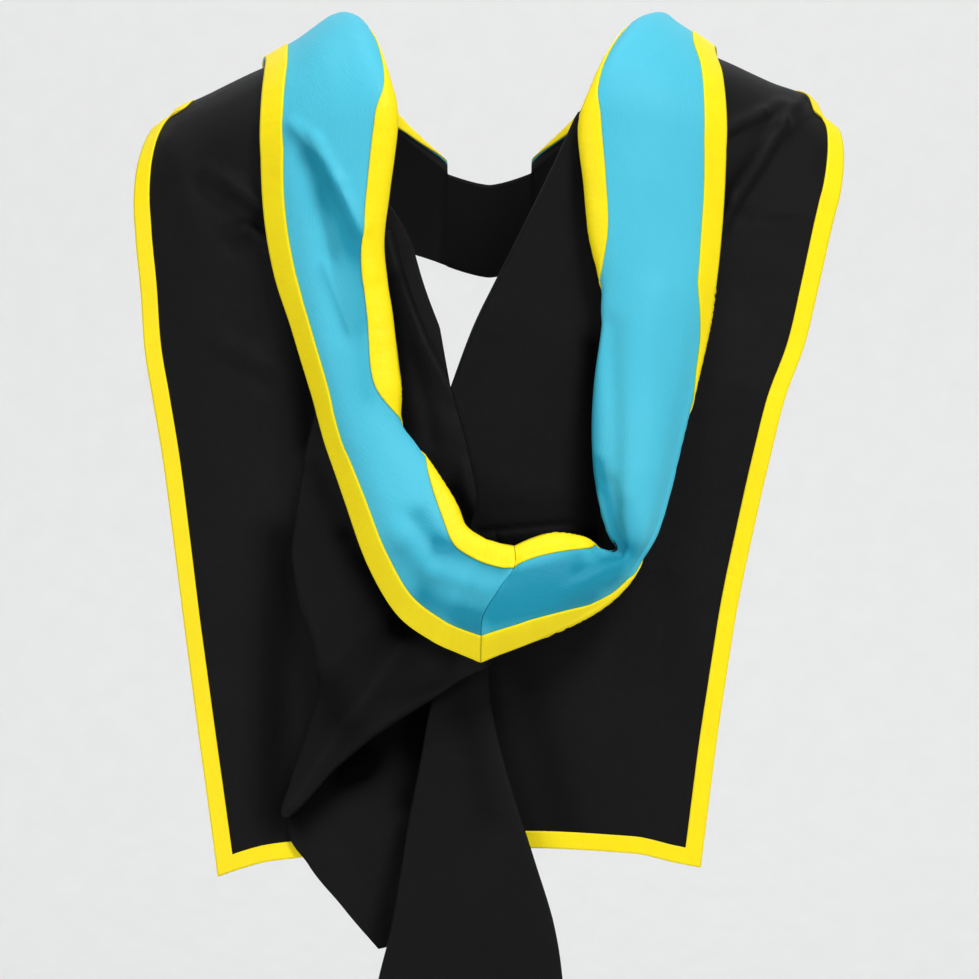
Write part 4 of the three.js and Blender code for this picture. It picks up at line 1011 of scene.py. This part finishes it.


# Twill with slubs and soft creases, with painted shade: dull and darker where shade falls in folds
def blackCloth():
    look = Finish("black_twill")
    u, v = look.cloth()
    twill = threads(u + v, blackLook["thread"])
    weft = threads(v - u * blackLook["weftLean"], blackLook["weftThread"])
    slubs, cloud, crease = (look.noise(*blackLook[key]) for key in ("slubs", "cloud", "crease"))
    colour = look.tone(weighed((cloud, slubs, twill), blackLook["tone"]), blackLook)
    rough = weighed((1, cloud, twill), blackLook["rough"])
    soft = look.bump(crease, *blackLook["creaseBump"])
    normal = look.bump(weighed((twill, weft, slubs), blackLook["height"]), *blackLook["weaveBump"], soft)
    look.finish(colour, rough, normal, blackLook["fixed"])
    # Painted shade: a dull, dark diffuse shader blended over the cloth by the painted shade attribute
    paintedShadeDiffuse = look.node("ShaderNodeBsdfDiffuse", inputs={"Color": blackLook["hollow"], "Normal": normal})
    return look.blend(look.hollow(), paintedShadeDiffuse)


blueLook = {
    "deep": (0.047, 0.46, 0.63),
    "light": (0.083, 0.55, 0.715),
    # painted shade: the deeper blue painted where shade falls in folds
    "hollow": (0.0, 0.25, 0.37),
    "crinkle": (900, 3, 0.6, (0.16, 1, 1)),
    "pebble": (1500, 2, 0.5, (1, 1, 1)),
    "ripple": (48, 2, 0.5, (0.3, 1, 1)),
    "cloud": (10, 2, 0.5),
    "tone": (0.6, 0.15, 0.25),
    "range": (1.3, -0.15),
    "rough": (0.5, 0.12, 0.05),
    "height": (0.9, 0.25),
    "rippleBump": (0.002, 0.3),
    "crinkleBump": (0.0007, 0.55),
    "fixed": {"Sheen Weight": 0.08, "Sheen Roughness": 0.35, "Sheen Tint": (0.5, 0.9, 1.0),
              "Specular IOR Level": 0.3},
}


# Crepe crinkled along its length, with painted shade: a deeper blue where shade falls in folds
def blueCloth():
    look = Finish("blue_crepe")
    look.cloth()
    crinkle, pebble, ripple, cloud = (look.noise(*blueLook[key])
                                      for key in ("crinkle", "pebble", "ripple", "cloud"))
    colour = look.tone(weighed((cloud, ripple, crinkle), blueLook["tone"]), blueLook)
    # Painted shade: the colour is mixed towards its shade colour by the painted shade attribute
    colour = look.mix(look.hollow(), colour, blueLook["hollow"])
    soft = look.bump(ripple, *blueLook["rippleBump"])
    normal = look.bump(weighed((crinkle, pebble), blueLook["height"]), *blueLook["crinkleBump"], soft)
    rough = weighed((1, crinkle, cloud), blueLook["rough"])
    return look.finish(colour, rough, normal, blueLook["fixed"])


yellowLook = {
    "deep": (0.93, 0.7, 0.003),
    "light": (0.99, 0.83, 0.004),
    "rib": 0.0012,
    "fine": (1500, 2, 0.5, (0.3, 1, 1)),
    "pucker": (75, 2, 0.5, (1, 0.4, 1)),
    "cloud": (20, 2, 0.5),
    "tone": (0.5, 0.3, 0.2),
    "range": (1.6, -0.3),
    "rough": (0.42, 0.14),
    "height": (0.5, 0.4),
    "puckerBump": (0.003, 0.35),
    "ribBump": (0.0002, 0.45),
    "fixed": {"Sheen Weight": 0.03, "Sheen Roughness": 0.35, "Sheen Tint": (1.0, 0.9, 0.3),
              "Specular IOR Level": 0.2},
}


# Ribbon with ribs across it and a little pucker
def yellowRibbon():
    look = Finish("yellow_ribbon")
    ribs = threads(look.cloth()[0], yellowLook["rib"])
    fine, pucker, cloud = (look.noise(*yellowLook[key]) for key in ("fine", "pucker", "cloud"))
    colour = look.tone(weighed((cloud, fine, pucker), yellowLook["tone"]), yellowLook)
    soft = look.bump(pucker, *yellowLook["puckerBump"])
    normal = look.bump(weighed((ribs, fine), yellowLook["height"]), *yellowLook["ribBump"], soft)
    return look.finish(colour, weighed((1, fine), yellowLook["rough"]), normal, yellowLook["fixed"])


finishes = {"shell_black": blackCloth(), "facing_blue": blueCloth(), "ribbon_yellow": yellowRibbon()}
print("finishes ready")

# Painted shade and painted shadow: where shade is painted into the cloth's colour, in folds, under
# overlapping layers and where one layer shadows another, in millimetres: from x, from z, to x, to z, depth,
# width, one-sided
hollows = {
    "facing_left": [
        [-134, -84, -117, -102, 0.7, 9, 1], [-117, -102, -103, -128, 0.9, 14, 1],
        [-103, -128, -90, -156, 1, 18, 1], [-93, -158, -87, -212, 0.55, 13, 0],
        [-115, -180, -98, -222, 0.4, 5, 1], [-90, -225, -84, -268, 0.3, 7, 0],
        [-48, -352, -34, -374, 0.6, 7, 0], [-34, -374, 8, -388, 0.85, 8, 0],
        [-60, -378, -46, -398, 0.5, 11, 0], [-44, -410, -6, -428, 0.85, 9, 0],
        [-14, -422, 12, -420, 0.5, 12, 0], [-28, -396, 8, -406, 0.3, 12, 0],
    ],
    "facing_right": [
        [72, -225, 74, -330, 0.75, 5, 0], [76, -318, 90, -376, 1, 6, 0],
        [95, -345, 98, -378, 0.4, 7, 0], [-4, -410, 80, -392, 0.95, 15, 0],
        [4, -424, 66, -410, 0.7, 11, 0], [16, -396, 60, -383, 0.5, 6, 0],
        [80, -392, 100, -376, 0.5, 8, 0],
    ],
    "cape_left": [
        [-133, -205, -126, -300, 0.75, 10, 0], [-148, -370, -152, -560, 0.6, 15, 0],
        [-158, -138, -166, -150, 0.5, 6, 0],
    ],
    "cape_right": [
        [190, -96, 166, -130, 0.5, 9, 1], [26, -470, 60, -600, 0.35, 18, 0],
    ],
    "pocket_back_left": [
        [-40, -490, -90, -526, 0.85, 18, 0], [-90, -526, -133, -566, 0.8, 11, 0],
        [-44, -500, -58, -552, 0.7, 11, 0], [-60, -574, -80, -655, 0.45, 8, 0],
        [-70, -190, -60, -290, 0.6, 10, 0], [-25, -334, -10, -356, 0.7, 6, 0],
    ],
    "pocket_back_right": [
        [72, -235, 72, -365, 0.75, 10, 0], [54, -84, 2, -190, 0.5, 8, 1],
        [0, -372, 70, -368, 0.6, 6, 0],
    ],
    "cowl_left": [
        [-122, -320, -102, -364, 0.3, 8, 0], [-100, -368, -60, -432, 0.55, 10, 0],
        [-63, -430, -26, -450, 0.6, 7, 0], [-88, -385, -66, -428, 0.35, 13, 0],
        [-116, -470, -100, -500, 0.4, 12, 0], [-116, -556, -60, -510, 0.4, 5, 0],
    ],
    "cowl_right": [
        [0, -452, 62, -424, 0.5, 7, 0],
    ],
    "liripipe": [
        [-20, -480, 0, -560, 0.3, 12, 0],
    ],
}

# How each cloth is held, what it rests on, the star being its own side, and how it was cut:
# width and length in metres and, unless it is a rectangle, its area, left and then right
cuts = {
    "cape": ("draped", ["neckband"], (0.27, 0.86, 0.146), (0.27, 0.86, 0.144)),
    "cape_ribbon": ("draped", ["cape*"], (0.012, 1.08)),
    "pocket_back": ("hung", ["cape*"], (0.15, 0.52, 0.051), (0.13, 0.36, 0.031)),
    "cowl": ("folded", ["cape*", "pocket_back*"], (0.25, 0.74, 0.117), (0.22, 0.76, 0.099)),
    "facing": ("folded", ["cowl*"], (0.115, 0.76, 0.069), (0.12, 0.8, 0.076)),
    "inner_ribbon": ("draped", ["facing*"], (0.0225, 0.71)),
    "outer_ribbon": ("draped", ["facing*"], (0.019, 0.84), (0.0205, 0.84)),
    "liripipe": ("hung", ["cowl_left", "cowl_right"], (0.28, 0.36, 0.069)),
    "neckband": ("stretched", ["cape_left", "cape_right"], (0.06, 0.07)),
}

for node, (piece, points) in made.items():
    kind = node.replace("_left", "").replace("_right", "")
    slotName = "facing_blue" if kind == "facing" else "ribbon_yellow" if "ribbon" in kind else "shell_black"
    piece.data.materials.append(finishes[slotName])
    # Paints each piece's shade and shadow into its colour along the listed lines
    markPaintedShade(piece, points, hollows.get(node, []), kind == "cowl")
    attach(piece, "root")
    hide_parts(node)
    ending = node[len(kind):]
    held, restsOn, *sizes = cuts[kind]
    width, length, *area = sizes[-1 if ending == "_right" else 0]
print("pieces dressed")


studio = {
    "distance": 6.0,
    "middle": (0.0, -0.33425),
    "frame": 0.6853,  # what the photo's frame covers at the hood, in metres
    "plane": -0.11,
    "floor": -0.86,
    "sweep": {"front": -9, "foot": 1.6, "bend": 0.8, "top": 4.5, "side": 8, "steps": 24},
    "paper": {"deep": (0.80, 0.80, 0.79), "light": (0.84, 0.84, 0.83), "range": (1, 0),
              "grain": (40, 2, 0.5), "rough": 0.9, "bump": (0.0005, 0.1)},
    "sensor": 36,
    "sky": (0.92, 0.95, 1, 1),
    "skyStrength": 0.3,
    "lights": [  # name, place, target, size, power
        ("key_light", (1.9, -2.6, 2.9), (0, 0, -0.3), (1.3, 1.3), 134),
        ("fill_light", (-2.6, -3.0, 0.2), (0, 0, -0.35), (2.4, 2.4), 44),
        ("top_light", (-0.4, 0.2, 3.0), (0, 0, -0.3), (2, 1.6), 40),
    ],
}


# A backdrop that sweeps from the floor up behind the hood: a line, a quarter circle
# (sin(turn), 1 - cos(turn)) and a line
def backdrop():
    sweep, paper = studio["sweep"], studio["paper"]
    turn = np.linspace(0, math.pi / 2, sweep["steps"])
    foot, bend = sweep["foot"], sweep["bend"]
    x = np.linspace(-sweep["side"], sweep["side"], 3)
    y = np.concatenate([[sweep["front"]], foot + bend * np.sin(turn), [foot + bend]])
    z = np.concatenate([[0], bend * (1 - np.cos(turn)), [sweep["top"]]]) + studio["floor"]
    points = np.stack(np.broadcast_arrays(x[None, :], y[:, None], z[:, None]), -1).reshape(-1, 3)
    index = np.arange(len(points)).reshape(len(y), 3)
    faces = np.stack([index[:-1, :-1], index[:-1, 1:], index[1:, 1:], index[1:, :-1]], -1).reshape(-1, 4)
    sheet = meshObject("backdrop", points, faces, points[:, :2])
    look = Finish("backdrop_paper")
    grain = look.noise(*paper["grain"])
    look.finish(look.tone(grain, paper), paper["rough"], look.bump(grain, *paper["bump"]))
    # Seen from its back the paper is clear, so that the hood's front can be looked at too
    backSide = look.node("ShaderNodeNewGeometry", output="Backfacing")
    sheet.data.materials.append(look.blend(backSide, look.node("ShaderNodeBsdfTransparent")))


# A rectangular area light at a place, turned to its target
def softbox(name, place, target, size, power):
    light = bpy.data.lights.new(name, "AREA")
    light.shape = "RECTANGLE"
    light.size, light.size_y = size
    light.energy = power
    thing = bpy.data.objects.new(name, light)
    thing.location = place
    thing.rotation_euler = (Vector(target) - Vector(place)).to_track_quat("-Z", "Y").to_euler()
    bpy.context.scene.collection.objects.link(thing)


backdrop()
for row in studio["lights"]:
    softbox(*row)

world = bpy.data.worlds.new("studio")
bpy.context.scene.world = world
world.use_nodes = True
sky = world.node_tree.nodes["Background"].inputs
sky["Color"].default_value = studio["sky"]
sky["Strength"].default_value = studio["skyStrength"]

lens = bpy.data.cameras.new("camera")
lens.sensor_width = studio["sensor"]
lens.lens = studio["sensor"] * studio["distance"] / studio["frame"]
camera = bpy.data.objects.new("camera", lens)
camera.location = (studio["middle"][0], studio["plane"] - studio["distance"], studio["middle"][1])
camera.rotation_euler = (math.pi / 2, 0, 0)
bpy.context.scene.collection.objects.link(camera)
bpy.context.scene.camera = camera
bpy.context.scene.view_settings.view_transform = "Standard"
print("studio ready")
